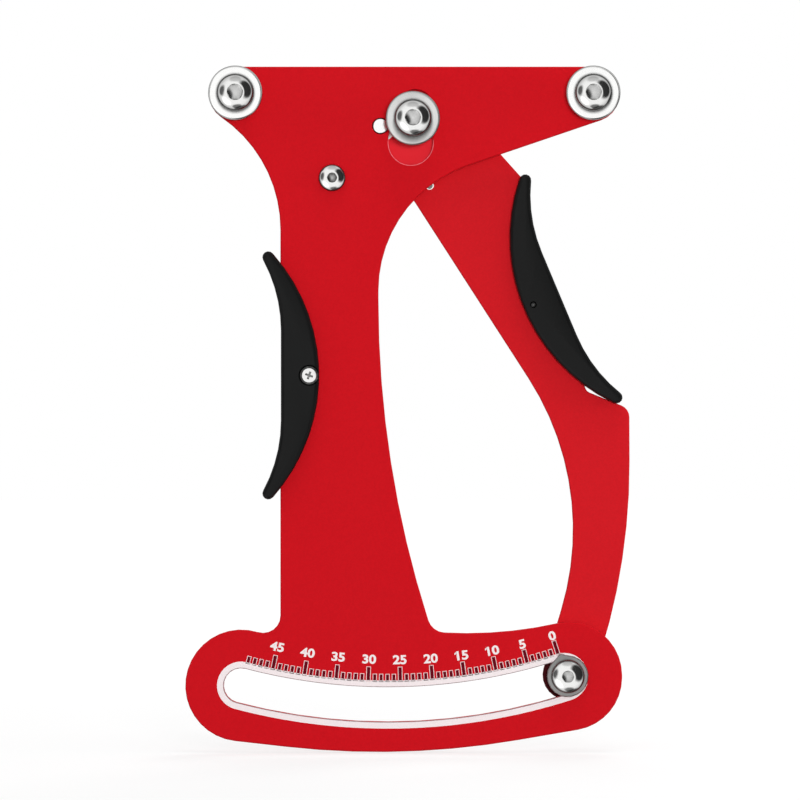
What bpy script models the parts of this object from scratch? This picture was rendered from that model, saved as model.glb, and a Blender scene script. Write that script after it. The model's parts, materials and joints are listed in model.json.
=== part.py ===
"""Spoke tension meter: a fixed plate with two grooved posts and a scale, and a
sprung arm with a third post and a pointer. Metres, +Z up, front towards -Y.

The world origin is the centre line of a spoke held in the grooves, midway
between the two fixed posts. Outlines are belts: a list of discs with a
straight tangent from each to the next, so every round is a real radius."""

import math

import bmesh
import bpy

MM = 0.001

# Fits and seats
FIT_GAP = 0.3 * MM
SEAT_GAP = 0.2 * MM
CHORD_ERROR = 0.064 * MM
EDGE_BREAK = 0.25 * MM
ROUND_STEPS = 32
SMALL_ROUND_STEPS = 24
DOME_STEPS = 5
GRIP_ROUND_STEPS = 3

# The grooved posts and the spoke that they take
POST_SPACING = 101.6 * MM
SPOKE_DIAMETER = 2.0 * MM
NECK_RADIUS = 4.0 * MM
GROOVE_WIDTH = 4.2 * MM
FLANGE_RADIUS = 7.7 * MM
FLANGE_THICK = 2.2 * MM
FLANGE_CHAMFER = 0.5 * MM
FOOT_RADIUS = 6.2 * MM
FOOT_THICK = 1.2 * MM
GROOVE_FLANK = 0.9 * MM
MOVING_SHANK_RADIUS = 4.5 * MM

# Plates and the running gap between them
PLATE_THICK = 3.0 * MM
ARM_THICK = 3.0 * MM
GLIDE_THICK = 0.8 * MM

# The pivot and the moving post, from the middle of the post line
PIVOT_X = -9.65 * MM
PIVOT_Z = -9.1 * MM
MOVING_POST_X = -0.4 * MM
MOVING_POST_Z = -7.2 * MM
PIVOT_PIN_RADIUS = 2.05 * MM
PIN_HEAD_RADIUS = 7.0 * MM
PIN_HEAD_THICK = 1.6 * MM

# Scale and travel, angles from straight down, to the right positive
POINTER_TRAVEL_RADIUS = 165.6 * MM
SLOT_RADIUS = 164.6 * MM
SLOT_HALF_WIDTH = 4.95 * MM
SLOT_OFFSET_X = 2.05 * MM
SLOT_OFFSET_Z = -0.3 * MM
SLOT_RIGHT_ANGLE = math.radians(17.8)
SLOT_LEFT_ANGLE = math.radians(-14.7)
REST_ANGLE = math.radians(18.8)

# Front plate outline
CORNER_RADIUS = 7.8 * MM
SHOULDER_RADIUS = 39.0 * MM
COLUMN_LEFT = -38.15 * MM
COLUMN_FILLET = 5.0 * MM
LEFT_LOBE_RADIUS = 15.9 * MM
RIGHT_LOBE_RADIUS = 15.1 * MM
RIGHT_LOBE_SHIFT = 0.45 * MM
RIGHT_LOBE_RISE = 0.25 * MM
RIGHT_LOBE_FALL = 0.45 * MM
LOWER_EDGE_X = -10.2 * MM
LOWER_EDGE_Z = 47.8 * MM
LOWER_EDGE_EASE = 0.5 * MM
LOBE_TOP_RADIUS = 119.0 * MM
LOBE_TOP_X = 15.0 * MM
COLUMN_RIGHT = -10.2 * MM
COLUMN_WAIST_Z = -58.7 * MM
COLUMN_CURVE = 300.0 * MM
THROAT_RADIUS = 37.6 * MM
THROAT_Z = -55.9 * MM
POST_WINDOW_RADIUS = 6.4 * MM
POST_WINDOW_X = -1.0 * MM
POST_WINDOW_MIDDLE = -12.6 * MM
POST_WINDOW_BOTTOM = -13.9 * MM
WINDOW_TOP_RADIUS = 5.0 * MM
WINDOW_TOP_X = 0.3 * MM
WINDOW_TOP_Z = -3.6 * MM
SEAT_STEP_RADIUS = 4.0 * MM

# Arm outline
ARM_HUB_RADIUS = 12.2 * MM
ARM_PIVOT_BOSS = 7.0 * MM
ARM_CROTCH_RADIUS = 12.0 * MM
ARM_INNER_RADIUS = 79.8 * MM
ARM_INNER_X = -34.4 * MM
ARM_INNER_Z = -124.25 * MM
ARM_END_RADIUS = 7.0 * MM
ARM_OUTER_X = -117.9 * MM
ARM_OUTER_Z = -105.7 * MM
ARM_CORNER_RADIUS = 3.6 * MM
ARM_CORNER_X = 57.9 * MM
ARM_CORNER_Z = -92.1 * MM
ARM_NOTCH_RADIUS = 2.0 * MM
ARM_NOTCH_V = 1.5 * MM
ARM_NOTCH_U = -27.9 * MM
ARM_STEP_RADIUS = 4.0 * MM
ARM_HEEL_RADIUS = 1.2 * MM

# Grips, each in its own frame: v across from the outer edge, u along
GRIP_THICK = 12.0 * MM
GRIP_WIDTH = 10.9 * MM
GRIP_INNER_RADIUS = 52.3 * MM
GRIP_OUTER_RADIUS = 42.0 * MM
GRIP_STRAIGHT = 25.6 * MM
GRIP_TIP_RADIUS = 1.7 * MM
GRIP_ROUND = 1.2 * MM
GRIP_WEB = 2.2 * MM
GRIP_SCREW_V = 8.05 * MM
LEFT_GRIP_X = -37.95 * MM
LEFT_GRIP_Z = -80.2 * MM
RIGHT_GRIP_X = 41.4 * MM
RIGHT_GRIP_Z = -56.9 * MM
RIGHT_GRIP_LEAN = math.radians(22.8)
GRIP_SCREW_RADIUS = 1.45 * MM
GRIP_SCREW_HEAD_RADIUS = 2.7 * MM
GRIP_SCREW_HEAD_DEPTH = 1.6 * MM
GRIP_SCREW_TIP_HOLE = 0.95 * MM
CROSS_WIDTH = 0.55 * MM
CROSS_REACH = 1.3 * MM
CROSS_DEPTH = 1.0 * MM

# Return spring, its spool and its anchor
WIRE_DIAMETER = 1.8 * MM
COIL_GAP = 0.15 * MM
COIL_TURNS = 3
COIL_STEP = math.radians(20)
SPOOL_RADIUS = 4.0 * MM
SPRING_HOLE_X = 4.4 * MM
SPRING_HOLE_Z = -25.9 * MM
SPRING_BEND_RADIUS = 1.6 * MM
SPRING_TAIL = 5.0 * MM
ANCHOR_X = -23.4 * MM
ANCHOR_Z = -23.9 * MM
ANCHOR_SLEEVE_RADIUS = 3.4 * MM
ANCHOR_GROOVE_DEPTH = 0.6 * MM
ANCHOR_LIP = 1.0 * MM

# Pointer washer
POINTER_RADIUS = 5.9 * MM
POINTER_REACH = 6.6 * MM
POINTER_NOSE_WIDTH = 1.3 * MM
POINTER_NOSE_RADIUS = 0.25 * MM
POINTER_FLANK = 5.0 * MM
POINTER_THICK = 1.5 * MM
POINTER_BUSH_RADIUS = 3.4 * MM
GLIDE_RADIUS = 5.6 * MM
PIVOT_WASHER_RADIUS = 4.4 * MM

# Button-head screws: head radius, head height, socket across flats, shank radius
M6 = (5.25 * MM, 3.3 * MM, 4.0 * MM, 3.0 * MM)
M5 = (4.75 * MM, 2.75 * MM, 3.0 * MM, 2.5 * MM)
M4 = (3.8 * MM, 2.2 * MM, 2.5 * MM, 2.0 * MM)
SOCKET_SHARE = 0.62
HEAD_BASE_SHARE = 0.22
# Hex nuts: across flats, height, for each thread above
M6_NUT = (10.0 * MM, 5.0 * MM)
M5_NUT = (8.0 * MM, 4.0 * MM)
M4_NUT = (7.0 * MM, 3.2 * MM)
THREAD_STICK_OUT = 1.0 * MM
WASHER_THICK = 1.2 * MM
WASHER_RADIUS = 6.0 * MM

# Places worked out from the sizes
POST_Z = NECK_RADIUS + SPOKE_DIAMETER / 2
HALF_SPACING = POST_SPACING / 2
FLANGE_FRONT = -GROOVE_WIDTH / 2 - FLANGE_THICK
PLATE_FRONT = GROOVE_WIDTH / 2 + FOOT_THICK + SEAT_GAP
PLATE_REAR = PLATE_FRONT + PLATE_THICK
ARM_FRONT = PLATE_REAR + GLIDE_THICK + 2 * SEAT_GAP
ARM_REAR = ARM_FRONT + ARM_THICK
PIVOT = (PIVOT_X, PIVOT_Z)
PIVOT_BORE = PIVOT_PIN_RADIUS + FIT_GAP
WIRE_RADIUS = WIRE_DIAMETER / 2
COIL_RADIUS = SPOOL_RADIUS + FIT_GAP + WIRE_RADIUS
COIL_PITCH = WIRE_DIAMETER + COIL_GAP
COIL_FRONT = ARM_REAR + FIT_GAP + WIRE_RADIUS


def swung(centre, angle, radius):
    """Point at an angle from straight down about a centre."""
    return (centre[0] + radius * math.sin(angle), centre[1] - radius * math.cos(angle))


REST_TIP = swung(PIVOT, REST_ANGLE, POINTER_TRAVEL_RADIUS)
SLOT_CENTRE = (PIVOT_X + SLOT_OFFSET_X, PIVOT_Z + SLOT_OFFSET_Z)
SLOT_RIGHT = swung(SLOT_CENTRE, SLOT_RIGHT_ANGLE, SLOT_RADIUS)
SLOT_LEFT = swung(SLOT_CENTRE, SLOT_LEFT_ANGLE, SLOT_RADIUS)


def tangent(a, b):
    """Angle of the left normal of the belt's straight run from disc a to disc b.

    A disc is (x, z, r): r is positive where the belt turns left round it."""
    dx, dz = b[0] - a[0], b[1] - a[1]
    share = (b[2] - a[2]) / math.hypot(dx, dz)
    return math.atan2(dz, dx) + math.acos(max(-1.0, min(1.0, share)))


def on_disc(disc, normal):
    """Point of a disc's rim whose left normal has this angle."""
    return (disc[0] - disc[2] * math.cos(normal), disc[1] - disc[2] * math.sin(normal))


def sweep_of(disc, start, end):
    """Turn from one normal to the next, in the direction of the disc's sign."""
    turn = math.fmod(end - start, math.tau)
    if disc[2] > 0 and turn < -1e-6:
        turn += math.tau
    if disc[2] < 0 and turn > 1e-6:
        turn -= math.tau
    return turn


def belt(discs, inset=0.0):
    """Closed outline round the discs, moved inwards by inset, with the same points for every inset."""
    points = []
    moved = [(x, z, r - inset) for x, z, r in discs]
    for i, disc in enumerate(discs):
        before, after = discs[i - 1], discs[(i + 1) % len(discs)]
        turn = sweep_of(disc, tangent(before, disc), tangent(disc, after))
        step = 2 * math.acos(max(0.5, 1 - CHORD_ERROR / abs(disc[2])))
        steps = max(2, math.ceil(abs(turn) / step))
        start = tangent(moved[i - 1], moved[i])
        turn = sweep_of(moved[i], start, tangent(moved[i], moved[(i + 1) % len(moved)]))
        points += [on_disc(moved[i], start + turn * k / steps) for k in range(steps + 1)]
    return points


def between(a, b, r, left=True):
    """Disc of signed radius r that touches discs a and b, on the left or right of the way from a to b."""
    reach_a, reach_b = abs(a[2] - r), abs(b[2] - r)
    dx, dz = b[0] - a[0], b[1] - a[1]
    span = math.hypot(dx, dz)
    along = (span * span + reach_a * reach_a - reach_b * reach_b) / (2 * span)
    off = math.sqrt(max(0.0, reach_a * reach_a - along * along)) * (1 if left else -1)
    return (a[0] + (along * dx - off * dz) / span, a[1] + (along * dz + off * dx) / span, r)


def circle(x, z, radius, steps=ROUND_STEPS):
    """Points of a full circle, counter-clockwise seen from the front."""
    turns = [math.tau * k / steps for k in range(steps)]
    return [(x + radius * math.cos(t), z + radius * math.sin(t)) for t in turns]


def mesh_object(name, bm, parent, place):
    """A smooth-shaded mesh object made from a bmesh, hung on its parent."""
    bmesh.ops.recalc_face_normals(bm, faces=bm.faces)
    mesh = bpy.data.meshes.new(name)
    bm.to_mesh(mesh)
    bm.free()
    mesh.shade_smooth()
    mesh.set_sharp_from_angle(angle=math.radians(30))
    obj = bpy.data.objects.new(name, mesh)
    bpy.context.scene.collection.objects.link(obj)
    obj.parent = parent
    obj.location = place
    return obj


def bridge(bm, lower, upper):
    """Side faces between two rings of the same count."""
    for i in range(len(lower)):
        j = (i + 1) % len(lower)
        bm.faces.new((lower[i], lower[j], upper[j], upper[i]))


def prism(name, rings, parent, place=(0, 0, 0)):
    """Solid through outlines: rings is a list of (y, points), front to back."""
    bm = bmesh.new()
    loops = [[bm.verts.new((x, y, z)) for x, z in points] for y, points in rings]
    for lower, upper in zip(loops, loops[1:]):
        bridge(bm, lower, upper)
    bm.faces.new(loops[0])
    bm.faces.new(list(reversed(loops[-1])))
    return mesh_object(name, bm, parent, place)


def sheet_part(name, discs, front, rear, parent, place=(0, 0, 0)):
    """Plate of a belt outline with broken edges."""
    levels = ((front, EDGE_BREAK), (front + EDGE_BREAK, 0), (rear - EDGE_BREAK, 0), (rear, EDGE_BREAK))
    return prism(name, [(y, belt(discs, inset)) for y, inset in levels], parent, place)


def turned(name, profile, parent, place=(0, 0, 0), steps=ROUND_STEPS):
    """Solid of revolution about Y. The profile is (y, radius), closed if it never meets the axis."""
    bm = bmesh.new()
    rings = []
    for y, radius in profile:
        if radius == 0:
            rings.append([bm.verts.new((0, y, 0))])
        else:
            rings.append([bm.verts.new((x, y, z)) for x, z in circle(0, 0, radius, steps)])
    pairs = list(zip(rings, rings[1:]))
    if len(rings[0]) > 1:
        pairs.append((rings[-1], rings[0]))
    for lower, upper in pairs:
        if len(lower) == len(upper):
            bridge(bm, lower, upper)
            continue
        pole, ring = (lower, upper) if len(lower) == 1 else (upper, lower)
        for i in range(steps):
            bm.faces.new((pole[0], ring[i], ring[(i + 1) % steps]))
    return mesh_object(name, bm, parent, place)


def tube(name, inner, outer, front, rear, parent, place, break_edge=EDGE_BREAK):
    """Plain ring or sleeve with broken outer edges."""
    profile = [
        (front, inner),
        (front, outer - break_edge),
        (front + break_edge, outer),
        (rear - break_edge, outer),
        (rear, outer - break_edge),
        (rear, inner),
    ]
    return turned(name, profile, parent, place, SMALL_ROUND_STEPS)


def subtract(obj, cutter):
    """Cut one mesh out of another and keep the cutter as a hidden helper."""
    cutter.hide_render = True
    cutter.display_type = "WIRE"
    modifier = obj.modifiers.new(cutter.name, "BOOLEAN")
    modifier.operation = "DIFFERENCE"
    modifier.solver = "EXACT"
    modifier.object = cutter


def bore(obj, x, z, radius, front, rear, parent, place=(0, 0, 0), steps=SMALL_ROUND_STEPS):
    """Round hole along Y."""
    name = f"{obj.name}_bore_{len(obj.modifiers)}"
    points = circle(x, z, radius, steps)
    subtract(obj, prism(name, [(front, points), (rear, points)], parent, place))


def finish(obj, colour, metallic, roughness):
    """Give an object its own plain material."""
    material = bpy.data.materials.new(obj.name)
    material.use_nodes = True
    shader = material.node_tree.nodes["Principled BSDF"]
    shader.inputs["Base Color"].default_value = (*colour, 1)
    shader.inputs["Metallic"].default_value = metallic
    shader.inputs["Roughness"].default_value = roughness
    material.diffuse_color = (*colour, 1)
    obj.data.materials.append(material)
    return obj


def steel(obj, roughness=0.22):
    return finish(obj, (0.78, 0.78, 0.77), 1.0, roughness)


def red_paint(obj, colour=(0.6, 0.009, 0.013)):
    return finish(obj, colour, 0.0, 0.4)


def black_plastic(obj):
    return finish(obj, (0.017, 0.018, 0.018), 0.0, 0.45)


def hexagon(across_flats):
    return circle(0, 0, across_flats / math.sqrt(3), 6)


def button_screw(name, size, seat, length, parent, place):
    """Button-head socket screw: its head stands in front of the plane y = seat."""
    head_radius, head_height, socket, shank = size
    top = seat - head_height
    flat = socket * SOCKET_SHARE
    base = head_height * HEAD_BASE_SHARE
    profile = [(top, 0), (top, flat)]
    for k in range(1, DOME_STEPS + 1):
        t = math.pi / 2 * k / DOME_STEPS
        radius = flat + (head_radius - flat) * math.sin(t)
        profile.append((seat - base - (head_height - base) * math.cos(t), radius))
    profile += [(seat, head_radius), (seat, shank)]
    profile += [(seat + length - EDGE_BREAK, shank), (seat + length, shank - EDGE_BREAK), (seat + length, 0)]
    screw = turned(name, profile, parent, place, SMALL_ROUND_STEPS)
    points = hexagon(socket)
    front = top - head_height
    floor = top + head_height * SOCKET_SHARE
    subtract(screw, prism(f"{name}_socket", [(front, points), (floor, points)], parent, place))
    return steel(screw, 0.16)


def hex_nut(name, size, bore_radius, front, parent, place):
    """Hexagon nut whose front face is at y = front."""
    across, height = size
    points = hexagon(across)
    nut = prism(name, [(front, points), (front + height, points)], parent, place)
    bore(nut, 0, 0, bore_radius, front - height, front + 2 * height, parent, place)
    return steel(nut)


def grooved_post(name, foot_rear, foot_radius, bolt, parent, place):
    """Turned post: front flange, groove with sloping flanks for the spoke, and a foot."""
    half = GROOVE_WIDTH / 2
    inner = bolt[3] + FIT_GAP
    profile = [
        (FLANGE_FRONT, inner),
        (FLANGE_FRONT, FLANGE_RADIUS - FLANGE_CHAMFER),
        (FLANGE_FRONT + FLANGE_CHAMFER, FLANGE_RADIUS),
        (-half - FLANGE_CHAMFER, FLANGE_RADIUS),
        (-half, FLANGE_RADIUS - FLANGE_CHAMFER),
        (-half, NECK_RADIUS + GROOVE_FLANK),
        (-half + GROOVE_FLANK, NECK_RADIUS),
        (half - GROOVE_FLANK, NECK_RADIUS),
        (half, max(foot_radius, NECK_RADIUS + GROOVE_FLANK) - EDGE_BREAK),
        (half + EDGE_BREAK, foot_radius),
        (foot_rear, foot_radius),
        (foot_rear, inner),
    ]
    return steel(turned(name, profile, parent, place))


def fixed_post(side, x, frame):
    """One fixed post with its screw, washer and nut."""
    place = (x, 0, 0)
    grooved_post(f"{side}_post", PLATE_FRONT - SEAT_GAP, FOOT_RADIUS, M6, frame, place)
    washer_front = PLATE_REAR + SEAT_GAP
    nut_front = washer_front + WASHER_THICK + SEAT_GAP
    seat = FLANGE_FRONT - SEAT_GAP
    length = nut_front + M6_NUT[1] + THREAD_STICK_OUT - seat
    button_screw(f"{side}_post_screw", M6, seat, length, frame, place)
    inner = M6[3] + FIT_GAP
    washer_rear = washer_front + WASHER_THICK
    steel(tube(f"{side}_post_washer", inner, WASHER_RADIUS, washer_front, washer_rear, frame, place))
    hex_nut(f"{side}_post_nut", M6_NUT, inner, nut_front, frame, place)


def left_grip_point(v, u):
    return (LEFT_GRIP_X + v, LEFT_GRIP_Z + u)


def right_grip_point(v, u):
    """The right grip is the same moulding turned over and leant."""
    c, s = math.cos(RIGHT_GRIP_LEAN), math.sin(RIGHT_GRIP_LEAN)
    return (RIGHT_GRIP_X - v * c - u * s, RIGHT_GRIP_Z - v * s + u * c)


def grip_discs():
    """Crescent in grip coordinates: two tips, a straight-backed hollow outside and a long arc inside."""
    half = GRIP_STRAIGHT / 2
    inner = (GRIP_WIDTH - GRIP_INNER_RADIUS, 0, GRIP_INNER_RADIUS)
    upper = (-GRIP_OUTER_RADIUS, half, -GRIP_OUTER_RADIUS)
    lower = (-GRIP_OUTER_RADIUS, -half, -GRIP_OUTER_RADIUS)
    top_tip = between(upper, inner, GRIP_TIP_RADIUS, left=True)
    low_tip = (top_tip[0], -top_tip[1], GRIP_TIP_RADIUS)
    return [inner, top_tip, upper, lower, low_tip]


def grip(name, parent, place, rotation, plate_middle):
    """One-piece grip: a U section whose slot takes the plate's edge."""
    discs = grip_discs()
    half = GRIP_THICK / 2
    rings = []
    for k in range(GRIP_ROUND_STEPS + 1):
        t = math.pi / 2 * k / GRIP_ROUND_STEPS
        rings.append((-half + GRIP_ROUND * (1 - math.sin(t)), GRIP_ROUND * (1 - math.cos(t))))
    levels = list(reversed(rings)) + [(-y, inset) for y, inset in rings]
    body = prism(name, [(y, belt(discs, inset)) for y, inset in levels], parent)
    body.location = (place[0], plate_middle, place[1])
    body.rotation_euler = rotation
    slot_half = PLATE_THICK / 2 + SEAT_GAP
    reach, back, end = GRIP_WIDTH * 2, -GRIP_WIDTH, GRIP_INNER_RADIUS
    floor = [(x, z, r - GRIP_WEB) for x, z, r in discs[2:4]]
    above = [(reach, end, EDGE_BREAK), (back, end, EDGE_BREAK)]
    below = [(back, -end, EDGE_BREAK), (reach, -end, EDGE_BREAK)]
    floor_line = belt([*above, *floor, *below])
    slot = prism(f"{name}_slot", [(-slot_half, floor_line), (slot_half, floor_line)], body)
    subtract(body, slot)
    shank = GRIP_SCREW_RADIUS + FIT_GAP
    head = GRIP_SCREW_HEAD_RADIUS + FIT_GAP
    rim = -half + FIT_GAP
    seat = rim + GRIP_SCREW_HEAD_DEPTH
    outside = -half - GRIP_SCREW_HEAD_DEPTH
    pocket = [
        (outside, 0),
        (outside, head),
        (rim + EDGE_BREAK, head),
        (seat, shank),
        (half / 2, shank),
        (half / 2, GRIP_SCREW_TIP_HOLE),
        (GRIP_THICK, GRIP_SCREW_TIP_HOLE),
        (GRIP_THICK, 0),
    ]
    subtract(body, turned(f"{name}_screw_hole", pocket, body, (GRIP_SCREW_V, 0, 0), SMALL_ROUND_STEPS))
    return black_plastic(body)


def grip_screw(name, body):
    """Cross-recess countersunk screw through the grip and the plate, carried by the grip's frame."""
    half = GRIP_THICK / 2
    front = -half + FIT_GAP
    seat = front + GRIP_SCREW_HEAD_DEPTH
    tip = half / 2 - FIT_GAP
    profile = [
        (front, 0),
        (front, GRIP_SCREW_HEAD_RADIUS),
        (front + EDGE_BREAK, GRIP_SCREW_HEAD_RADIUS),
        (seat, GRIP_SCREW_RADIUS),
        (tip - GRIP_SCREW_RADIUS / 2, GRIP_SCREW_RADIUS),
        (tip, GRIP_SCREW_RADIUS / 2),
        (tip, 0),
    ]
    screw = turned(name, profile, body, (GRIP_SCREW_V, 0, 0), SMALL_ROUND_STEPS)
    for turn in range(2):
        cross = f"{name}_cross_{turn}"
        w, r = (CROSS_WIDTH / 2, CROSS_REACH) if turn else (CROSS_REACH, CROSS_WIDTH / 2)
        points = [(-w, -r), (w, -r), (w, r), (-w, r)]
        rings = [(front - CROSS_DEPTH, points), (front + CROSS_DEPTH, points)]
        subtract(screw, prism(cross, rings, body, (GRIP_SCREW_V, 0, 0)))
    return steel(screw)


def seat_steps(edge_v):
    """Four discs that step the plate's left edge inwards under the grip's web, listed downwards."""
    half = GRIP_STRAIGHT / 2
    seat = GRIP_OUTER_RADIUS + GRIP_WEB + FIT_GAP
    r = SEAT_STEP_RADIUS
    end_u = half + math.sqrt((seat + r) ** 2 - (GRIP_OUTER_RADIUS + edge_v + r) ** 2)
    shape = (
        (edge_v + r, end_u, r),
        (-GRIP_OUTER_RADIUS, half, -seat),
        (-GRIP_OUTER_RADIUS, -half, -seat),
        (edge_v + r, -end_u, r),
    )
    return [(*left_grip_point(v, u), radius) for v, u, radius in shape]


def front_plate_discs():
    """Outline of the fixed plate, counter-clockwise from the right corner."""
    left_lobe = (*SLOT_LEFT, LEFT_LOBE_RADIUS)
    lobe_x = REST_TIP[0] + RIGHT_LOBE_SHIFT
    upper_lobe = (lobe_x, REST_TIP[1] + RIGHT_LOBE_RISE, RIGHT_LOBE_RADIUS)
    lower_lobe = (lobe_x, REST_TIP[1] - RIGHT_LOBE_FALL, RIGHT_LOBE_RADIUS)
    reaches = [math.hypot(x - LOWER_EDGE_X, z - LOWER_EDGE_Z) + r for x, z, r in (left_lobe, lower_lobe)]
    lower_edge = (LOWER_EDGE_X, LOWER_EDGE_Z, min(reaches) - LOWER_EDGE_EASE)
    fillet_x = COLUMN_LEFT - COLUMN_FILLET
    rise = math.sqrt((LEFT_LOBE_RADIUS + COLUMN_FILLET) ** 2 - (fillet_x - SLOT_LEFT[0]) ** 2)
    drop = math.sqrt((RIGHT_LOBE_RADIUS + LOBE_TOP_RADIUS) ** 2 - (LOBE_TOP_X - lobe_x) ** 2)
    lobe_top = (LOBE_TOP_X, upper_lobe[1] + drop, -LOBE_TOP_RADIUS)
    shoulder_x = COLUMN_LEFT - SHOULDER_RADIUS
    fall = math.sqrt((CORNER_RADIUS + SHOULDER_RADIUS) ** 2 - (shoulder_x + HALF_SPACING) ** 2)
    column = (COLUMN_RIGHT + COLUMN_CURVE, COLUMN_WAIST_Z, -COLUMN_CURVE)
    return [
        (HALF_SPACING, 0, CORNER_RADIUS),
        (-HALF_SPACING, 0, CORNER_RADIUS),
        (shoulder_x, -fall, -SHOULDER_RADIUS),
        *seat_steps(COLUMN_LEFT - LEFT_GRIP_X),
        (fillet_x, SLOT_LEFT[1] + rise, -COLUMN_FILLET),
        left_lobe,
        lower_edge,
        lower_lobe,
        upper_lobe,
        lobe_top,
        between(lobe_top, column, -COLUMN_FILLET, left=False),
        column,
        (COLUMN_RIGHT + THROAT_RADIUS, THROAT_Z, -THROAT_RADIUS),
    ]


def front_plate(frame):
    """The fixed plate with the scale slot, the moving post's window and the screw holes."""
    plate = sheet_part("front_plate", front_plate_discs(), PLATE_FRONT, PLATE_REAR, frame)
    front, rear = PLATE_FRONT - PLATE_THICK, PLATE_REAR + PLATE_THICK
    slot = [
        (*SLOT_RIGHT, SLOT_HALF_WIDTH),
        (*SLOT_CENTRE, -(SLOT_RADIUS - SLOT_HALF_WIDTH)),
        (*SLOT_LEFT, SLOT_HALF_WIDTH),
        (*SLOT_CENTRE, SLOT_RADIUS + SLOT_HALF_WIDTH),
    ]
    window = [
        (WINDOW_TOP_X, WINDOW_TOP_Z, WINDOW_TOP_RADIUS),
        (POST_WINDOW_X, POST_WINDOW_MIDDLE, POST_WINDOW_RADIUS),
        (POST_WINDOW_X, POST_WINDOW_BOTTOM, POST_WINDOW_RADIUS),
        (POST_WINDOW_X, POST_WINDOW_MIDDLE, POST_WINDOW_RADIUS),
    ]
    for name, discs in (("scale_slot", slot), ("post_window", window)):
        points = belt(discs)
        subtract(plate, prism(name, [(front, points), (rear, points)], frame))
    for x in (-HALF_SPACING, HALF_SPACING):
        bore(plate, x, 0, M6[3] + FIT_GAP, front, rear, frame)
    bore(plate, *PIVOT, PIVOT_BORE, front, rear, frame)
    bore(plate, ANCHOR_X, ANCHOR_Z, M4[3] + FIT_GAP, front, rear, frame)
    bore(plate, *left_grip_point(GRIP_SCREW_V, 0), GRIP_SCREW_RADIUS + FIT_GAP, front, rear, frame)
    return red_paint(plate)


def arm_discs():
    """Outline of the arm, counter-clockwise from the hub round the moving post."""
    hub = (MOVING_POST_X, MOVING_POST_Z, ARM_HUB_RADIUS)
    boss = (*PIVOT, ARM_PIVOT_BOSS)
    inner = (ARM_INNER_X, ARM_INNER_Z, -ARM_INNER_RADIUS)
    normal = tangent(hub, inner)
    gap = (PIVOT_X - hub[0]) * math.cos(normal) + (PIVOT_Z - hub[1]) * math.sin(normal) + hub[2]
    out = ARM_CROTCH_RADIUS + gap
    reach = ARM_CROTCH_RADIUS + ARM_PIVOT_BOSS
    along = math.sqrt(max(0.0, reach * reach - out * out))
    crotch_x = PIVOT_X - out * math.cos(normal) + along * math.sin(normal)
    crotch_z = PIVOT_Z - out * math.sin(normal) - along * math.cos(normal)
    outer_reach = math.hypot(REST_TIP[0] - ARM_OUTER_X, REST_TIP[1] - ARM_OUTER_Z)
    outer = (ARM_OUTER_X, ARM_OUTER_Z, outer_reach + ARM_END_RADIUS)
    depth = GRIP_WEB + FIT_GAP
    half = GRIP_STRAIGHT / 2
    tip_v, tip_u = grip_discs()[1][:2]
    out_share = (GRIP_OUTER_RADIUS + depth + ARM_HEEL_RADIUS) / (GRIP_OUTER_RADIUS + GRIP_TIP_RADIUS)
    heel_v = out_share * (tip_v + GRIP_OUTER_RADIUS) - GRIP_OUTER_RADIUS
    heel_u = out_share * (tip_u - half) + half
    return [
        hub,
        boss,
        (crotch_x, crotch_z, -ARM_CROTCH_RADIUS),
        inner,
        (*REST_TIP, ARM_END_RADIUS),
        outer,
        (ARM_CORNER_X, ARM_CORNER_Z, ARM_CORNER_RADIUS),
        (*right_grip_point(ARM_NOTCH_V, ARM_NOTCH_U), -ARM_NOTCH_RADIUS),
        (*right_grip_point(depth + ARM_STEP_RADIUS, -half), ARM_STEP_RADIUS),
        (*right_grip_point(-GRIP_OUTER_RADIUS, half), -(GRIP_OUTER_RADIUS + depth)),
        (*right_grip_point(heel_v, heel_u), ARM_HEEL_RADIUS),
    ]


def arm_plate(hinge, home):
    """The sprung arm: hub, crooked handle bar and round pointer end."""
    plate = sheet_part("arm_plate", arm_discs(), ARM_FRONT, ARM_REAR, hinge, home)
    front, rear = ARM_FRONT - ARM_THICK, ARM_REAR + ARM_THICK
    holes = (
        (*PIVOT, PIVOT_BORE),
        (MOVING_POST_X, MOVING_POST_Z, M6[3] + FIT_GAP),
        (*REST_TIP, M5[3] + FIT_GAP),
        (SPRING_HOLE_X, SPRING_HOLE_Z, WIRE_RADIUS + FIT_GAP),
        (*right_grip_point(GRIP_SCREW_V, 0), GRIP_SCREW_RADIUS + FIT_GAP),
    )
    for x, z, radius in holes:
        bore(plate, x, z, radius, front, rear, hinge, home)
    return red_paint(plate, (0.62, 0.012, 0.018))


def moving_post(hinge):
    """Third post on the arm, reaching through the plate's window, with its screw into the arm."""
    place = (MOVING_POST_X - PIVOT_X, 0, MOVING_POST_Z - PIVOT_Z)
    grooved_post("moving_post", ARM_FRONT - SEAT_GAP, MOVING_SHANK_RADIUS, M6, hinge, place)
    seat = FLANGE_FRONT - SEAT_GAP
    button_screw("moving_post_screw", M6, seat, ARM_REAR - seat, hinge, place)


def pointer_discs():
    """Round washer with hollow flanks up to a blunt nose that points at the pivot."""
    out = POINTER_REACH - POINTER_NOSE_RADIUS
    side = POINTER_NOSE_WIDTH / 2 - POINTER_NOSE_RADIUS
    s, c = math.sin(REST_ANGLE), math.cos(REST_ANGLE)
    body = (0, 0, POINTER_RADIUS)
    right = (side * c - out * s, side * s + out * c, POINTER_NOSE_RADIUS)
    left = (-side * c - out * s, -side * s + out * c, POINTER_NOSE_RADIUS)
    return [
        body,
        between(body, right, -POINTER_FLANK, left=False),
        right,
        left,
        between(left, body, -POINTER_FLANK, left=False),
    ]


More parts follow.
